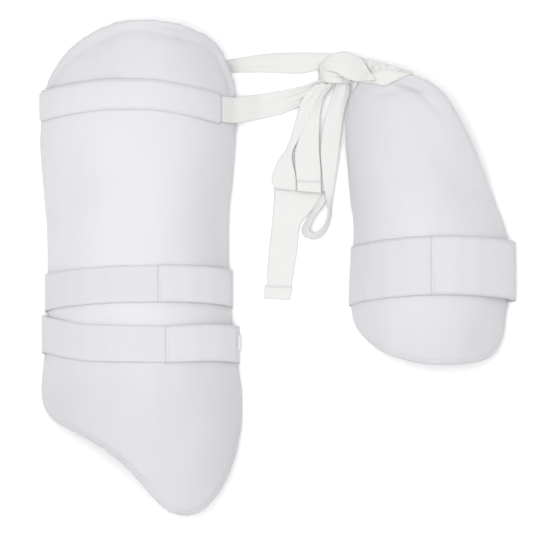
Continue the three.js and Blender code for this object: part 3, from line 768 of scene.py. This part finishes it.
def under_band(points, band):
    """Moves points of a pad in under a taut band, and lets them swell up beside it."""
    line = band["line"]
    out = outward_of(line)
    order = np.argsort(line[:, 0])
    middle = np.interp(points[:, 0], line[order, 0], line[order, 1])
    beside = np.maximum(0.0, np.abs(points[:, 1] - middle) - band["half"])
    near = beside < BAND_SWELL
    flat, way = line[:, [0, 2]], out[:, [0, 2]]
    away = points[near][:, [0, 2]] @ way.T - (flat * way).sum(axis=1)
    excess = away.max(axis=1) - (beside[near] * BAND_SLOPE - BAND_ROOM)
    points = points.copy()
    points[near] -= np.maximum(0.0, excess)[:, None] * out[away.argmax(axis=1)]
    return points


def build_pad(node, settings, bands):
    """A foam pad in its sewn cloth cover, and the line of its rim."""
    thing = cad_copy(node, f"{node}_cover")
    modify(thing, "SUBSURF", levels=1, render_levels=1)
    modify(thing, "REMESH", mode="VOXEL", voxel_size=settings["voxel"] * MM, use_smooth_shade=True)
    apply_modifiers(thing)
    puff(thing)
    modify(thing, "SMOOTH", factor=0.5, iterations=4)
    modify(thing, "SUBSURF", levels=1, render_levels=1)
    apply_modifiers(thing)
    tree = BVHTree.FromObject(thing, bpy.context.evaluated_depsgraph_get())
    rim = softened(rim_of(tree, Vector(settings["middle"]) * MM), 3, closed=True)
    shape_pad(thing.data, settings, rim, bands)
    shade_smooth(thing.data)
    return thing, rim


def shape_pad(mesh, settings, rim, bands):
    """Rim lip, seam groove, soft dents and creases, then the bands' pressure."""
    points = mesh_points(mesh)
    normals = mesh_points(mesh, "normal")
    x, y = points[:, 0] / MM, points[:, 1] / MM
    middle_x = settings["middle"][0] * MM
    outward = (points[:, 0] - middle_x) * normals[:, 0] + (points[:, 2] + 0.02) * normals[:, 2]
    front = smooth(outward / (20 * MM) * 0.5 + 0.5)
    lip_zone = past(y, settings["lip_from"], 30)
    foot = past(y, settings["seam_below"], -12)
    gap = nearest_gap(points, evened(rim, 1.0 * MM, closed=True)) / MM
    lift = settings["lip"] * lip_zone * np.exp(-(((gap - 4.0) / 2.4) ** 2))
    lift -= settings["valley"] * lip_zone * np.exp(-(((gap - 10.5) / 3.2) ** 2))
    lift -= 1.1 * np.exp(-(((gap - 4.2) / 1.3) ** 2)) * foot
    lift += 0.3 * wobble(x / 34, y / 46, settings["voxel"])
    for at_x, at_y, turn, long, wide, deep in settings["dents"]:
        dx, dy = x - at_x, y - at_y
        cosine, sine = math.cos(math.radians(turn)), math.sin(math.radians(turn))
        u = (dx * cosine + dy * sine) / long
        v = (dy * cosine - dx * sine) / wide
        lift -= deep * np.exp(-(u * u + v * v))
    points = lifted(points, normals, lift * front)
    for band in bands:
        points = under_band(points, band)
    set_points(mesh, points)
    soothe(mesh, bands)


def soothe(mesh, bands):
    """Evens out a pad's surface under and beside its bands, and at its two tips."""
    shape = bmesh.new()
    shape.from_mesh(mesh)
    height = np.array([vertex.co.y for vertex in shape.verts])
    near = (height > height.max() - 2.5 * MM) | (height < height.min() + 2.5 * MM)
    for band in bands:
        low = band["line"][:, 1].min() - band["half"]
        high = band["line"][:, 1].max() + band["half"]
        near |= (height > low - 12 * MM) & (height < high + 12 * MM)
    chosen = [vertex for vertex, found in zip(shape.verts, near) if found]
    for _ in range(8):
        bmesh.ops.smooth_vert(
            shape, verts=chosen, factor=0.5, use_axis_x=True, use_axis_y=True, use_axis_z=True
        )
    shape.to_mesh(mesh)
    shape.free()


def nearest_gap(points, line):
    """Distance from each point to the nearest point of a line."""
    gaps = np.empty(len(points))
    block = 4000
    for start in range(0, len(points), block):
        part = points[start : start + block]
        gaps[start : start + block] = np.sqrt(
            ((part[:, None, :] - line[None, :, :]) ** 2).sum(axis=2).min(axis=1)
        )
    return gaps


def bead(name, line, middle):
    """A thin sewn piping along a closed line, a little under a pad's widest place."""
    line = evened(line, 3.0 * MM, closed=True)
    inward = np.array(middle) * MM - line
    inward[:, 2] = 0.0
    line = line + unit(inward) * 0.9 * MM
    line[:, 2] = np.maximum(line[:, 2] - 2.2 * MM, 1.6 * MM)
    along = tangents(line, closed=True)
    side = unit(np.cross(along, (0.0, 0.0, 1.0)))
    table = np.hstack([line, side, np.cross(side, along)])
    length = line_length(line, closed=True)

    def place(share, around):
        rows = read_rows(table, share, closed=True)
        angle = (around * math.tau)[:, None]
        ring_out = np.cos(angle) * rows[:, 3:6] + np.sin(angle) * rows[:, 6:9]
        return rows[:, :3] + PIPING_RADIUS * ring_out

    return sheet_mesh(
        name, (len(line), 8), length, PIPING_RADIUS * math.tau, place, "cover", joined=True
    )


# Sizes and colours a user would change


def colour_of(name, description, *channels):
    return bpy.props.FloatVectorProperty(
        name=name, description=description, subtype="COLOR", size=4,
        default=(*channels, 1.0), min=0, max=1,
    )


def length_of(name, description, default, least, most):
    """A length given in millimetres."""
    return bpy.props.FloatProperty(
        name=name, description=description, unit="LENGTH",
        default=default * MM, min=least * MM, max=most * MM,
    )


class GuardColours(bpy.types.PropertyGroup):
    cover: colour_of("Cover", "Colour of the pads' cloth covers", 0.60, 0.597, 0.622)
    elastic: colour_of("Elastic", "Colour of the elastic straps", 0.57, 0.566, 0.593)
    patch: colour_of("Patch", "Colour of the hook-and-loop ends", 0.585, 0.58, 0.608)
    tape: colour_of("Tape", "Colour of the cotton waist tape", 0.665, 0.663, 0.652)
    label: colour_of("Label", "Colour of the blank side label", 0.62, 0.62, 0.635)


class GuardSizes(bpy.types.PropertyGroup):
    elastic_thickness: length_of("Elastic thickness", "Thickness of the elastic straps", 1.6, 0.5, 4)
    outer_strap_width: length_of(
        "Outer strap width", "Width of the outer pad's two straps", 37, 20, 60
    )
    inner_strap_width: length_of("Inner strap width", "Width of the inner pad's strap", 59, 30, 80)
    patch_thickness: length_of("Patch thickness", "Thickness of the hook-and-loop ends", 1.4, 0.5, 3)
    tape_width: length_of("Tape width", "Width of the flat waist tape", 27, 15, 40)
    tape_thickness: length_of("Tape thickness", "Thickness of the waist tape", 1.0, 0.4, 2)


materials = {}


def material_named(finish):
    """Each finish is made once and shared."""
    colours = bpy.context.scene.guard_colours
    makers = {
        "cover": lambda: cover_cloth(colours.cover),
        "elastic": lambda: ribbed_elastic(colours.elastic),
        "patch": lambda: loop_patch(colours.patch),
        "tape": lambda: woven_tape(colours.tape),
        "label": lambda: plain_cloth("label_cloth", colours.label, 0.7),
        "thread": lambda: plain_cloth("thread", colours.label, 0.7),
        "paper": lambda: plain_cloth("floor_paper", (0.98, 0.98, 0.98, 1), 0.9),
    }
    if finish not in materials:
        materials[finish] = makers[finish]()
    return materials[finish]


def settle(thing, slot, *nodes):
    """Every piece lies still on the one body, and the CAD nodes it stands in for are hidden. The slot
    is not used.
    """
    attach(thing, "root")
    if nodes:
        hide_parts(*nodes)


def settle_sheet(thing, slot, node):
    """A sheet of cloth in place of a node, settled like every other piece; its built shape alone lays
    it on another piece or on the floor.
    """
    settle(thing, slot, node)


# Soft places in the pads' fronts: x, y, turn in degrees, length, width and depth, in mm
OUTER_DENTS = [
    (-62, 60, 90, 70, 18, 1.4),
    (-168, -134, 80, 30, 14, 1.6),
    (-119, -114, 88, 56, 9, -1.0),
    (-92, -176, 60, 44, 30, 2.4),
    (-205, 20, 84, 90, 16, 1.2),
    (-150, 96, 20, 60, 16, 0.7),
    (-84, 205, 24, 36, 10, 1.2),
    (-186, 202, -30, 30, 9, 1.0),
    (-160, -22, 6, 50, 8, 0.8),
    (-196, -128, -36, 40, 8, 0.9),
]
INNER_DENTS = [
    (132, 183, -14, 20, 4.5, 3.0),
    (146, 174, -48, 24, 4.5, 2.2),
    (112, 176, 8, 14, 3.5, 1.6),
    (118, 90, 80, 60, 24, 0.9),
    (160, 118, -62, 70, 12, 1.2),
    (172, 60, 70, 50, 16, 1.0),
    (206, -64, 60, 30, 12, 2.8),
    (130, -58, 20, 40, 9, 0.8),
]
# What each pad is made by, in mm. Its rim's lip begins at a place in Y and its foot seam below one
PADS = {
    "outer_pad": {
        "voxel": 4.2, "middle": (-136, 0, 0), "dents": OUTER_DENTS,
        "lip": 1.3, "valley": 1.1, "lip_from": 158.5, "seam_below": -150,
    },
    "inner_pad": {
        "voxel": 3.8, "middle": (145, 40, 0), "dents": INNER_DENTS,
        "lip": 0.3, "valley": 0.4, "lip_from": 153.5, "seam_below": -66,
    },
}


def band_on(node, width):
    """What a pad needs to know of a strap that presses on it."""
    thickness = bpy.context.scene.guard_sizes.elastic_thickness
    line = closed_way(node)
    return {"line": line - outward_of(line) * thickness, "half": width / 2}


def covered_pad(node, bands):
    """A pad's cover under its straps, and the piping round its rim."""
    settings = PADS[node]
    pad, rim = build_pad(node, settings, bands)
    settle(pad, "cover", node)
    settle(bead(f"{node}_piping", rim, settings["middle"]), "cover")


class GUARD_OT_outer_pad(bpy.types.Operator):
    """Build the long outer thigh pad with its piped rim"""

    bl_idname = "guard.outer_pad"
    bl_label = "Outer pad"

    def execute(self, context):
        width = context.scene.guard_sizes.outer_strap_width
        covered_pad("outer_pad", [band_on("upper_strap", width), band_on("lower_strap", width)])
        return {"FINISHED"}


class GUARD_OT_inner_pad(bpy.types.Operator):
    """Build the inner thigh pad with its piped rim"""

    bl_idname = "guard.inner_pad"
    bl_label = "Inner pad"

    def execute(self, context):
        width = context.scene.guard_sizes.inner_strap_width
        covered_pad("inner_pad", [band_on("inner_strap", width)])
        return {"FINISHED"}


# The lower tie from the knot to the outer pad: its upper and lower edge, right of, below and
# above the knot's middle
LOWER_TIE = [
    (-9, -1, 8, -8, 7, 8),
    (-20, 3, 6, -18, 15, 6),
    (-32, 6.5, 4.5, -30, 24, 4),
    (-52, 10.5, 3.5, -50, 33.5, 3),
    (-74, 14, 4.5, -72, 38.5, 4),
]
# The upper tie from behind the outer pad to the knot, its upper and lower edge
UPPER_TIE = [
    (-112, -19.5, 1.2, -111, -9.5, 1.2),
    (-104, -21, 1.6, -102, -9, 1.4),
    (-90, -23.5, 2.6, -88, -8.5, 2.2),
    (-70, -26, 3.4, -69, -8.7, 3),
    (-50, -27, 4.4, -50, -7.6, 4),
    (-36, -27, 5.4, -32, -6.8, 5),
    (-22, -26.8, 7, -19, -9.6, 6.4),
    (-11, -26, 9, -8, -14, 8.4),
    (1, -25, 11, 4, -16, 10.6),
]
# The hanging tape, from the top down: its left edge, then its right edge
FOLDED_STRAND = [
    (-17, 4, 7, -4, 4, 9),
    (-26, 13, 5.5, -9, 14, 8),
    (-32, 22, 4.8, -15, 24, 7),
    (-38, 43, 4.2, -24, 42, 6),
    (-46, 67, 3.8, -37, 64, 5),
    (-55.5, 81, 3.8, -41, 76, 5),
    (-61.5, 96, 3.8, -38, 92, 4.6),
    (-61, 104, 3.6, -36, 106, 4.2),
    (-58.5, 108.5, 3, -36, 111, 3.4),
]
SHORT_TAIL = [
    (-8, 4, 10, 3, 3, 11),
    (-14, 16, 8.5, -7, 15, 9.5),
    (-22, 32, 7, -12, 30, 8),
    (-31, 50, 6, -13.5, 50, 6.4),
    (-38, 70, 5.6, -13.5, 72, 5.8),
    (-38, 86, 5.4, -12, 88, 5.6),
    (-36.5, 99, 5.2, -12, 100, 5.4),
    (-36, 111, 5, -11.6, 113, 5.2),
]
SLACK_LOOP = [
    (6, 1, 11, 20, 5, 8.5),
    (1, 14, 9, 19.5, 14, 7),
    (-5, 30, 6.4, 14, 31, 6),
    (-10, 50, 5.8, 10.5, 50, 6),
    (-12, 72, 6, 7.8, 70, 6.4),
    (-10.5, 92, 6.4, 4.6, 91, 7),
    (-8.5, 109, 8, 1.5, 109, 7),
    (-6, 122, 9, -0.6, 124, 5),
    (-4.6, 133, 9.5, -1, 135, 2.6),
    (-7.6, 144, 10, -3.8, 146, 1.4),
    (-13.5, 152, 10, -10.6, 156.4, 1.2),
    (-20, 154.6, 10, -20.5, 159.2, 1.2),
    (-24.5, 150.5, 10, -29.5, 155.5, 1.2),
    (-22, 144.5, 9.5, -31, 148.5, 1.4),
    (-18, 137, 9, -26, 139, 2),
    (-13, 130.5, 8.5, -18.5, 128, 3),
    (-9, 124.5, 7, -13, 118.5, 3.6),
    (-4.5, 119, 5, -8.5, 111, 2.6),
]
LONG_TAIL = [
    (-59, 104, 1.4, -12, 106, 1.8),
    (-59.5, 113, 1.3, -9.5, 117.5, 2),
    (-60, 124, 1.1, -20.5, 130, 2),
    (-61, 136, 0.9, -31.5, 142, 1.4),
    (-62, 146, 0.9, -34, 152, 0.9),
    (-65, 174, 0.9, -36, 172, 0.9),
    (-66.5, 192, 0.9, -39, 190, 0.9),
    (-67, 206, 0.9, -41.5, 207, 0.9),
]
LONG_HEM = [
    (-69, 205, 1.5, -41.4, 206.2, 1.5),
    (-69.2, 212, 1.5, -42, 213, 1.5),
    (-69.4, 218.4, 1.4, -43.2, 219.6, 1.4),
]
SHORT_HEM = [
    (-36.4, 101, 6.6, -11.8, 102, 6.8),
    (-36.2, 106, 6.4, -11.6, 107.5, 6.6),
    (-36, 111.4, 6, -11.4, 113.4, 6.2),
]
# The hanging pieces: each one's node, edge lines, looks and hem
HANGING = [
    ("folded_strand", FOLDED_STRAND, {"crown": 0.7, "under": 1, "gather": (1.5, 0.8, 0.5)}, None),
    ("short_tail", SHORT_TAIL, {"crown": 0.6, "under": -1, "gather": (2.0, 1.0, 0.6)}, SHORT_HEM),
    ("slack_loop", SLACK_LOOP, {"crown": 0.5, "ripple": 0.15, "gather": (1.5, 0.9, 0.25)}, None),
    ("long_tail", LONG_TAIL, {"ripple": 0.3}, LONG_HEM),
]
# The turns of the knot, from left to right: its upper edge, then its lower edge
KNOT_BAND = [
    (-12.5, -15, 7.5, -12, -11, 7),
    (-5, -21.5, 12, -4, -8, 14.5),
    (5, -25.5, 15, 6, -5, 18.2),
    (16, -26.5, 19, 17, 1.5, 21),
    (25, -21.5, 26, 31, 5.5, 29),
    (32, -16.2, 34, 45, 5.6, 40),
]
KNOT_COLLAR = [
    (-14, -10, 3, -12, 1, 3),
    (-9, -10, 10.5, -7, 3, 11),
    (1, -8, 14.5, 2, 4.5, 14.4),
    (10, -6, 14.2, 12, 4, 13),
    (17, -3, 10, 19, 5.5, 8),
]
KNOT_UNDERTURN = [
    (-14, -14, 8, -10, 2, 6.5),
    (-3, -19, 11, 0, 1, 13),
    (8, -20, 12.5, 12, 3, 13),
    (17, -14, 13, 21, 4, 12),
]
KNOT_TURNS = [
    (KNOT_BAND, {"crown": 1.4, "creases": [(0.72, 1.0, 0.09), (0.3, 0.5, 0.12)], "clear": 3.2}),
    (KNOT_COLLAR, {"crown": 1.2, "creases": [(0.4, 1.0, 0.12)]}),
    (KNOT_UNDERTURN, {"crown": 0.6}),
]
# The tape over the inner pad's top corner: right of the knot, its lower edge and its turn over
# the rim below the knot, and how far it hangs behind
PAD_WRAP = [
    (24, 4.6, -21.8, 3),
    (32, 6.4, -17.9, 5),
    (44, 9.2, -13.4, 6),
    (53, 11.8, -10.4, 6),
    (63, 7.2, -6.8, 5),
    (72, 2.9, -3.6, 3),
    (80.5, 0.2, -0.8, 0.8),
]


def hem_thread(rows):
    """A stitch line across a hanging tape's hem, a little below the hem's upper edge."""
    share = np.linspace(0.06, 0.94, 12)
    line = between(read_rows(at_knot(rows), np.full(12, 0.12)), share)
    line[:, 2] += 1.3 * MM
    return with_out(line, (0.0, 0.0, 1.0))


# The middle of the waist tape over the outer pad, in mm of the frame
BELT_LINE = [
    (-236, 166.0), (-227, 166.6), (-169, 170.2), (-121, 169.5), (-87, 165.0), (-56, 160.4),
    (-41, 161.6), (0, 162),
]


def waist_tape(width, thickness):
    """The one tape from the knot over the outer pad, round its left rim and back behind it."""
    way = belt_way(width)
    over = way[: len(way) * 3 // 4]
    over = over[(over[:, 5] > 0.1) & (over[:, 2] > 16 * MM)]
    over = lifted(over[:, :3], over[:, 3:], np.full(len(over), 0.9))
    left, y, low = way[:, 0].min(), over[-1, 1], over[-1, 2]
    turn = [
        (left + 0.6 * MM, y, 0.7 * low),
        (left + 0.2 * MM, y, 0.4 * low),
        (left + 0.4 * MM, y, 3.0 * MM),
        (left + 2.0 * MM, y, 1.0 * MM),
        (left + 8.0 * MM, y, 0.8 * MM),
        (left + 90 * MM, y + 18 * MM, 0.8 * MM),
    ]
    middle = np.vstack([over, turn])
    edge = np.zeros((len(middle), 3))
    edge[:, 1] = width / 2 * np.interp(middle[:, 0], [-66 * MM, -54 * MM], [0.88, 0.97])
    sides = np.hstack([middle + edge, middle - edge])
    sides = np.vstack([at_knot(LOWER_TIE), sides, at_knot(UPPER_TIE)])
    rows = np.hstack([(sides[:, :3] + sides[:, 3:]) / 2, sides])
    table, length = tape_table(rows, WAY_STEP, 4)
    table[:, 6:9] *= -1
    upper_tie = 1 - UPPER_TIE_LENGTH / length

    def place(along, share):
        read = read_rows(table, along)
        slack = np.clip(1 - read[:, 9] / width, 0, 1) * past(read[:, 0] / MM, -40, 12)
        folded = smooth((along - upper_tie) * 8)
        pleat = np.minimum(slack * 6.0, 1.7) * np.cos(math.tau * 2 * share)
        lift = pleat * (1 - folded) + folded * 0.9 * np.cos(math.tau * share + 0.6)
        lift = lift + 0.2 * wobble(along * length * 40, share * 2, 2.0)
        return lifted(between(read, share), read[:, 6:9], lift)

    steps = (len(table), 16)
    return sheet_mesh("waist_tape_cloth", steps, length, width, place, "tape", thickness), length


def belt_sleeve():
    """The cover-cloth channel over the tape, its two long edges sewn down on the pad."""
    way = belt_way(SLEEVE_WIDTH)
    rows = way[(way[:, 5] > -0.3) & (way[:, 2] > 9 * MM) & (way[:, 0] < -58 * MM)]
    rows = evened(rows, WAY_STEP)
    length = line_length(rows)

    def place(along, share):
        read = read_rows(rows, along)
        in_from_edge = SLEEVE_WIDTH * (0.5 - np.abs(share - 0.5))
        fall = past(in_from_edge, 2 * SLEEVE_FLANGE, -SLEEVE_FLANGE)
        soft = wobble(along * 22, share * 3, 5.0)
        lift = SLEEVE_LIFT + 0.25 * soft * (1 - fall) - SLEEVE_DROP * fall
        return lifted(read[:, :3] + sideways(share, SLEEVE_WIDTH), read[:, 3:], lift)

    made = sheet_mesh(
        "belt_sleeve_cloth", (90, 28), length, SLEEVE_WIDTH, place, "cover", 0.8 * MM
    )
    seams = []
    for sign in (-1, 1):
        seam = rows[3:-2].copy()
        seam[:, 1] += sign * (SLEEVE_WIDTH / 2 - 0.8 * MM)
        seam[:, :3] += seam[:, 3:] * (SLEEVE_LIFT + 0.5 - SLEEVE_DROP) * MM
        seams.append(seam)
    return made, length, seams


def pad_wrap(tree, thickness):
    """The tape over the inner pad's top corner: on the front, then down behind the rim."""
    rows = curved(PAD_WRAP, 60)

    def height(x, y):
        """The pad's height there, or at its rim when that is near enough below."""
        for step in range(16):
            hit = seen_from_above(tree, x, y - step * MM)
            if hit is not None:
                return hit.z
        return 0.0

    def place(along, share):
        read = read_rows(rows, along)
        right = read[:, 0]
        on_front = np.clip(share / 0.72, 0, 1)
        behind = np.clip((share - 0.72) / 0.28, 0, 1)
        x = (KNOT_X + right) * MM
        y = (KNOT_Y - (read[:, 1] * (1 - on_front) + read[:, 2] * on_front)) * MM
        bridge = (16.0 + 14 * past(right, 20, 16)) * MM
        found = np.array([height(*spot) for spot in zip(x, y)])
        z = np.where(right < 34, np.maximum(found, bridge), np.where(found > 0, found, bridge))
        lift = 1.1 + 0.35 * wobble(along * 9, share * 4, 8.0)
        lift += 0.8 * np.exp(-(((on_front - 0.35) / 0.12) ** 2)) * (along > 0.3)
        z += lift * MM - behind * read[:, 3] * MM - smooth(behind * 3) * 1.5 * MM
        return np.column_stack([x, y + smooth(behind * 4) * 1.2 * MM, z])

    spread = 38 * MM
    return sheet_mesh("pad_wrap_tape", (56, 22), WRAP_LENGTH, spread, place, "tape", thickness)


def side_label():
    """A blank label tab: a strip folded in half, its ends sewn under the lower strap."""
    low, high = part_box("side_label")
    size = high - low
    reach = 2 * size.x

    def place(along, share):
        there = 1 - np.abs(2 * along - 1)
        side = np.sign(along - 0.5) * smooth((1 - there) * 5)
        x = low.x - 7.5 * MM + there * (size.x + 1.5 * MM)
        y = low.y - 5.0 * MM + share * size.y + 0.3 * MM * np.sin(there * 3)
        z = (low.z + high.z) / 2 + side * 0.55 * MM + 0.5 * MM * np.sin(share * 3)
        return np.column_stack([x, y, z])

    made = sheet_mesh("side_label_tab", (24, 10), reach, size.y, place, "label", 0.35 * MM)
    return made, (size.y, reach + 5 * MM)


class GUARD_OT_side_label(bpy.types.Operator):
    """Build the blank label tab at the lower strap's right end"""

    bl_idname = "guard.side_label"
    bl_label = "Side label"

    def execute(self, context):
        tab, flat = side_label()
        settle_sheet(tab, "label", "side_label")
        return {"FINISHED"}


class GUARD_OT_let_out(bpy.types.Operator):
    """Let the finished pieces out to the sewn guard's outline"""

    bl_idname = "guard.let_out"
    bl_label = "Let out"

    def execute(self, context):
        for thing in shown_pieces():
            points = mesh_points(thing.data)
            x, y = points[:, 0] / MM, points[:, 1] / MM
            inner = past(x, 58, 14)
            low_left = past(y, 50, -80) * past(x, 160, -70) * inner
            foot = past(y, -48, -45) * inner
            tongue = past(y, -150, -90) * (1 - inner)
            arch = past(y, 200, 45) * (1 - inner)
            points[:, 0] += (np.interp(x, LET_OUT_AT, LET_OUT) - 3.0 * low_left) * MM
            points[:, 1] += (1.4 * arch - 4.2 * tongue - 4.0 * foot) * MM
            set_points(thing.data, points)
        return {"FINISHED"}


class GUARD_OT_waist_tape(bpy.types.Operator):
    """Build the waist tape with its two ties, and the sleeve that holds it on the outer pad"""

    bl_idname = "guard.waist_tape"
    bl_label = "Waist tape and sleeve"

    def execute(self, context):
        sizes = context.scene.guard_sizes
        width = sizes.tape_width
        tape, length = waist_tape(width, sizes.tape_thickness)
        settle_sheet(tape, "tape", "waist_tape")
        sleeve, reach, seams = belt_sleeve()
        settle_sheet(sleeve, "cover", "belt_sleeve")
        stitches("sleeve_stitching", "cover", seams)
        return {"FINISHED"}


class GUARD_OT_knot(bpy.types.Operator):
    """Build the knot's turns, and the tape round the inner pad's top corner"""

    bl_idname = "guard.knot"
    bl_label = "Knot"

    def execute(self, context):
        sizes = context.scene.guard_sizes
        pad = bpy.data.objects["inner_pad_cover"]
        tree = BVHTree.FromObject(pad, context.evaluated_depsgraph_get())
        turns, total = [], 0.0
        for rows, looks in KNOT_TURNS:
            turn, reach = edge_tape("turn", rows, looks, tree)
            turns.append(turn)
            total += reach
        knot = join_tapes("knot_turns", turns)
        settle_sheet(knot, "tape", "knot")
        wrap = pad_wrap(tree, sizes.tape_thickness)
        settle_sheet(wrap, "tape", "pad_wrap")
        return {"FINISHED"}


class GUARD_OT_hanging_tape(bpy.types.Operator):
    """Build the tape that hangs below the knot: two strands, the slack loop and the long tail"""

    bl_idname = "guard.hanging_tape"
    bl_label = "Hanging tape"

    def execute(self, context):
        for node, rows, looks, hem in HANGING:
            piece, length = edge_tape(f"{node}_tape", rows, looks)
            if hem:
                turned, reach = edge_tape("hem", hem, {"ripple": 0.1, "thick": 1.6})
                piece = join_tapes(f"{node}_tape", [piece, turned])
                length += reach
            settle_sheet(piece, "tape", node)
        stitches("hem_stitching", "tape", [hem_thread(LONG_HEM), hem_thread(SHORT_HEM)])
        return {"FINISHED"}


class GUARD_OT_straps(bpy.types.Operator):
    """Build the three elastic straps and their hook-and-loop ends"""

    bl_idname = "guard.straps"
    bl_label = "Straps"

    def execute(self, context):
        sizes = context.scene.guard_sizes
        seams = []
        for node, width, pad in (
            ("upper_strap", sizes.outer_strap_width, "outer_pad_cover"),
            ("lower_strap", sizes.outer_strap_width, "outer_pad_cover"),
            ("inner_strap", sizes.inner_strap_width, "inner_pad_cover"),
        ):
            band, length = strap(node, width)
            settle_sheet(band, "elastic", node)
            patch, reach, patch_stitches = strap_patch(node, width)
            settle_sheet(patch, "patch", f"{node}_patch")
            seams += patch_stitches
        stitches("strap_stitching", "patch", seams)
        return {"FINISHED"}


def soft_light(name, place, size, power):
    """A round light that shines on the middle of the floor."""
    data = bpy.data.lights.new(name, "AREA")
    data.shape = "DISK"
    data.size = size
    data.energy = power
    lamp = add_object(name, data)
    lamp.location = place
    lamp.rotation_euler = (-Vector(place)).to_track_quat("-Z", "Y").to_euler()


def studio_world(strength):
    world = bpy.data.worlds.new("studio")
    world.use_nodes = True
    light = world.node_tree.nodes["Background"].inputs
    light["Color"].default_value = (1, 1, 1, 1)
    light["Strength"].default_value = strength
    bpy.context.scene.world = world


def set_camera(aim, tilt, away, lens):
    """A camera turned up by a tilt from level, that looks down at a place."""
    data = bpy.data.cameras.new("camera")
    data.sensor_width = 36
    data.clip_end = 50
    data.lens = lens
    camera = add_object("camera", data)
    camera.location = aim + Vector((0, -math.cos(tilt), math.sin(tilt))) * away
    camera.rotation_euler = (math.pi / 2 - tilt, 0, 0)
    bpy.context.scene.camera = camera


class GUARD_OT_stage(bpy.types.Operator):
    """Set the pale floor, the soft lights and the camera"""

    bl_idname = "guard.stage"
    bl_label = "Stage"

    def execute(self, context):
        shape = bmesh.new()
        bmesh.ops.create_grid(shape, x_segments=1, y_segments=1, size=6.0)
        floor = from_bmesh("floor", shape, "paper")
        floor.data.transform(Matrix.Translation((0, 0, -0.3 * MM)))
        floor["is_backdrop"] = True
        studio_world(strength=0.82)
        soft_light("key", place=(-0.5, -0.4, 2.4), size=1.5, power=27)
        soft_light("fill", place=(0.5, 0.3, 2.4), size=2.4, power=13)
        set_camera(aim=Vector((-9.7, 6.3, 0)) * MM, tilt=math.radians(82), away=8.0, lens=540)
        context.scene.view_settings.view_transform = "Standard"
        return {"FINISHED"}


class GUARD_PT_panel(bpy.types.Panel):
    """The guard's sizes, colours and pieces"""

    bl_idname = "GUARD_PT_panel"
    bl_label = "Thigh guard"
    bl_space_type = "VIEW_3D"
    bl_region_type = "UI"
    bl_category = "Thigh Guard"

    def draw(self, context):
        layout = self.layout
        for group in (context.scene.guard_sizes, context.scene.guard_colours):
            for key in group.__annotations__:
                layout.prop(group, key)
        for operator in OPERATORS:
            layout.operator(operator.bl_idname)


OPERATORS = (
    GUARD_OT_outer_pad,
    GUARD_OT_inner_pad,
    GUARD_OT_straps,
    GUARD_OT_waist_tape,
    GUARD_OT_knot,
    GUARD_OT_hanging_tape,
    GUARD_OT_side_label,
    GUARD_OT_let_out,
    GUARD_OT_stage,
)
CLASSES = (GuardColours, GuardSizes, *OPERATORS, GUARD_PT_panel)


def register():
    for item in CLASSES:
        bpy.utils.register_class(item)
    bpy.types.Scene.guard_colours = bpy.props.PointerProperty(type=GuardColours)
    bpy.types.Scene.guard_sizes = bpy.props.PointerProperty(type=GuardSizes)


def unregister():
    del bpy.types.Scene.guard_sizes
    del bpy.types.Scene.guard_colours
    for item in reversed(CLASSES):
        bpy.utils.unregister_class(item)


def main():
    register()
    bpy.ops.guard.outer_pad()
    bpy.ops.guard.inner_pad()
    bpy.ops.guard.straps()
    bpy.ops.guard.waist_tape()
    bpy.ops.guard.knot()
    bpy.ops.guard.hanging_tape()
    bpy.ops.guard.side_label()
    bpy.ops.guard.let_out()
    bpy.ops.guard.stage()


if __name__ == "__main__":
    main()
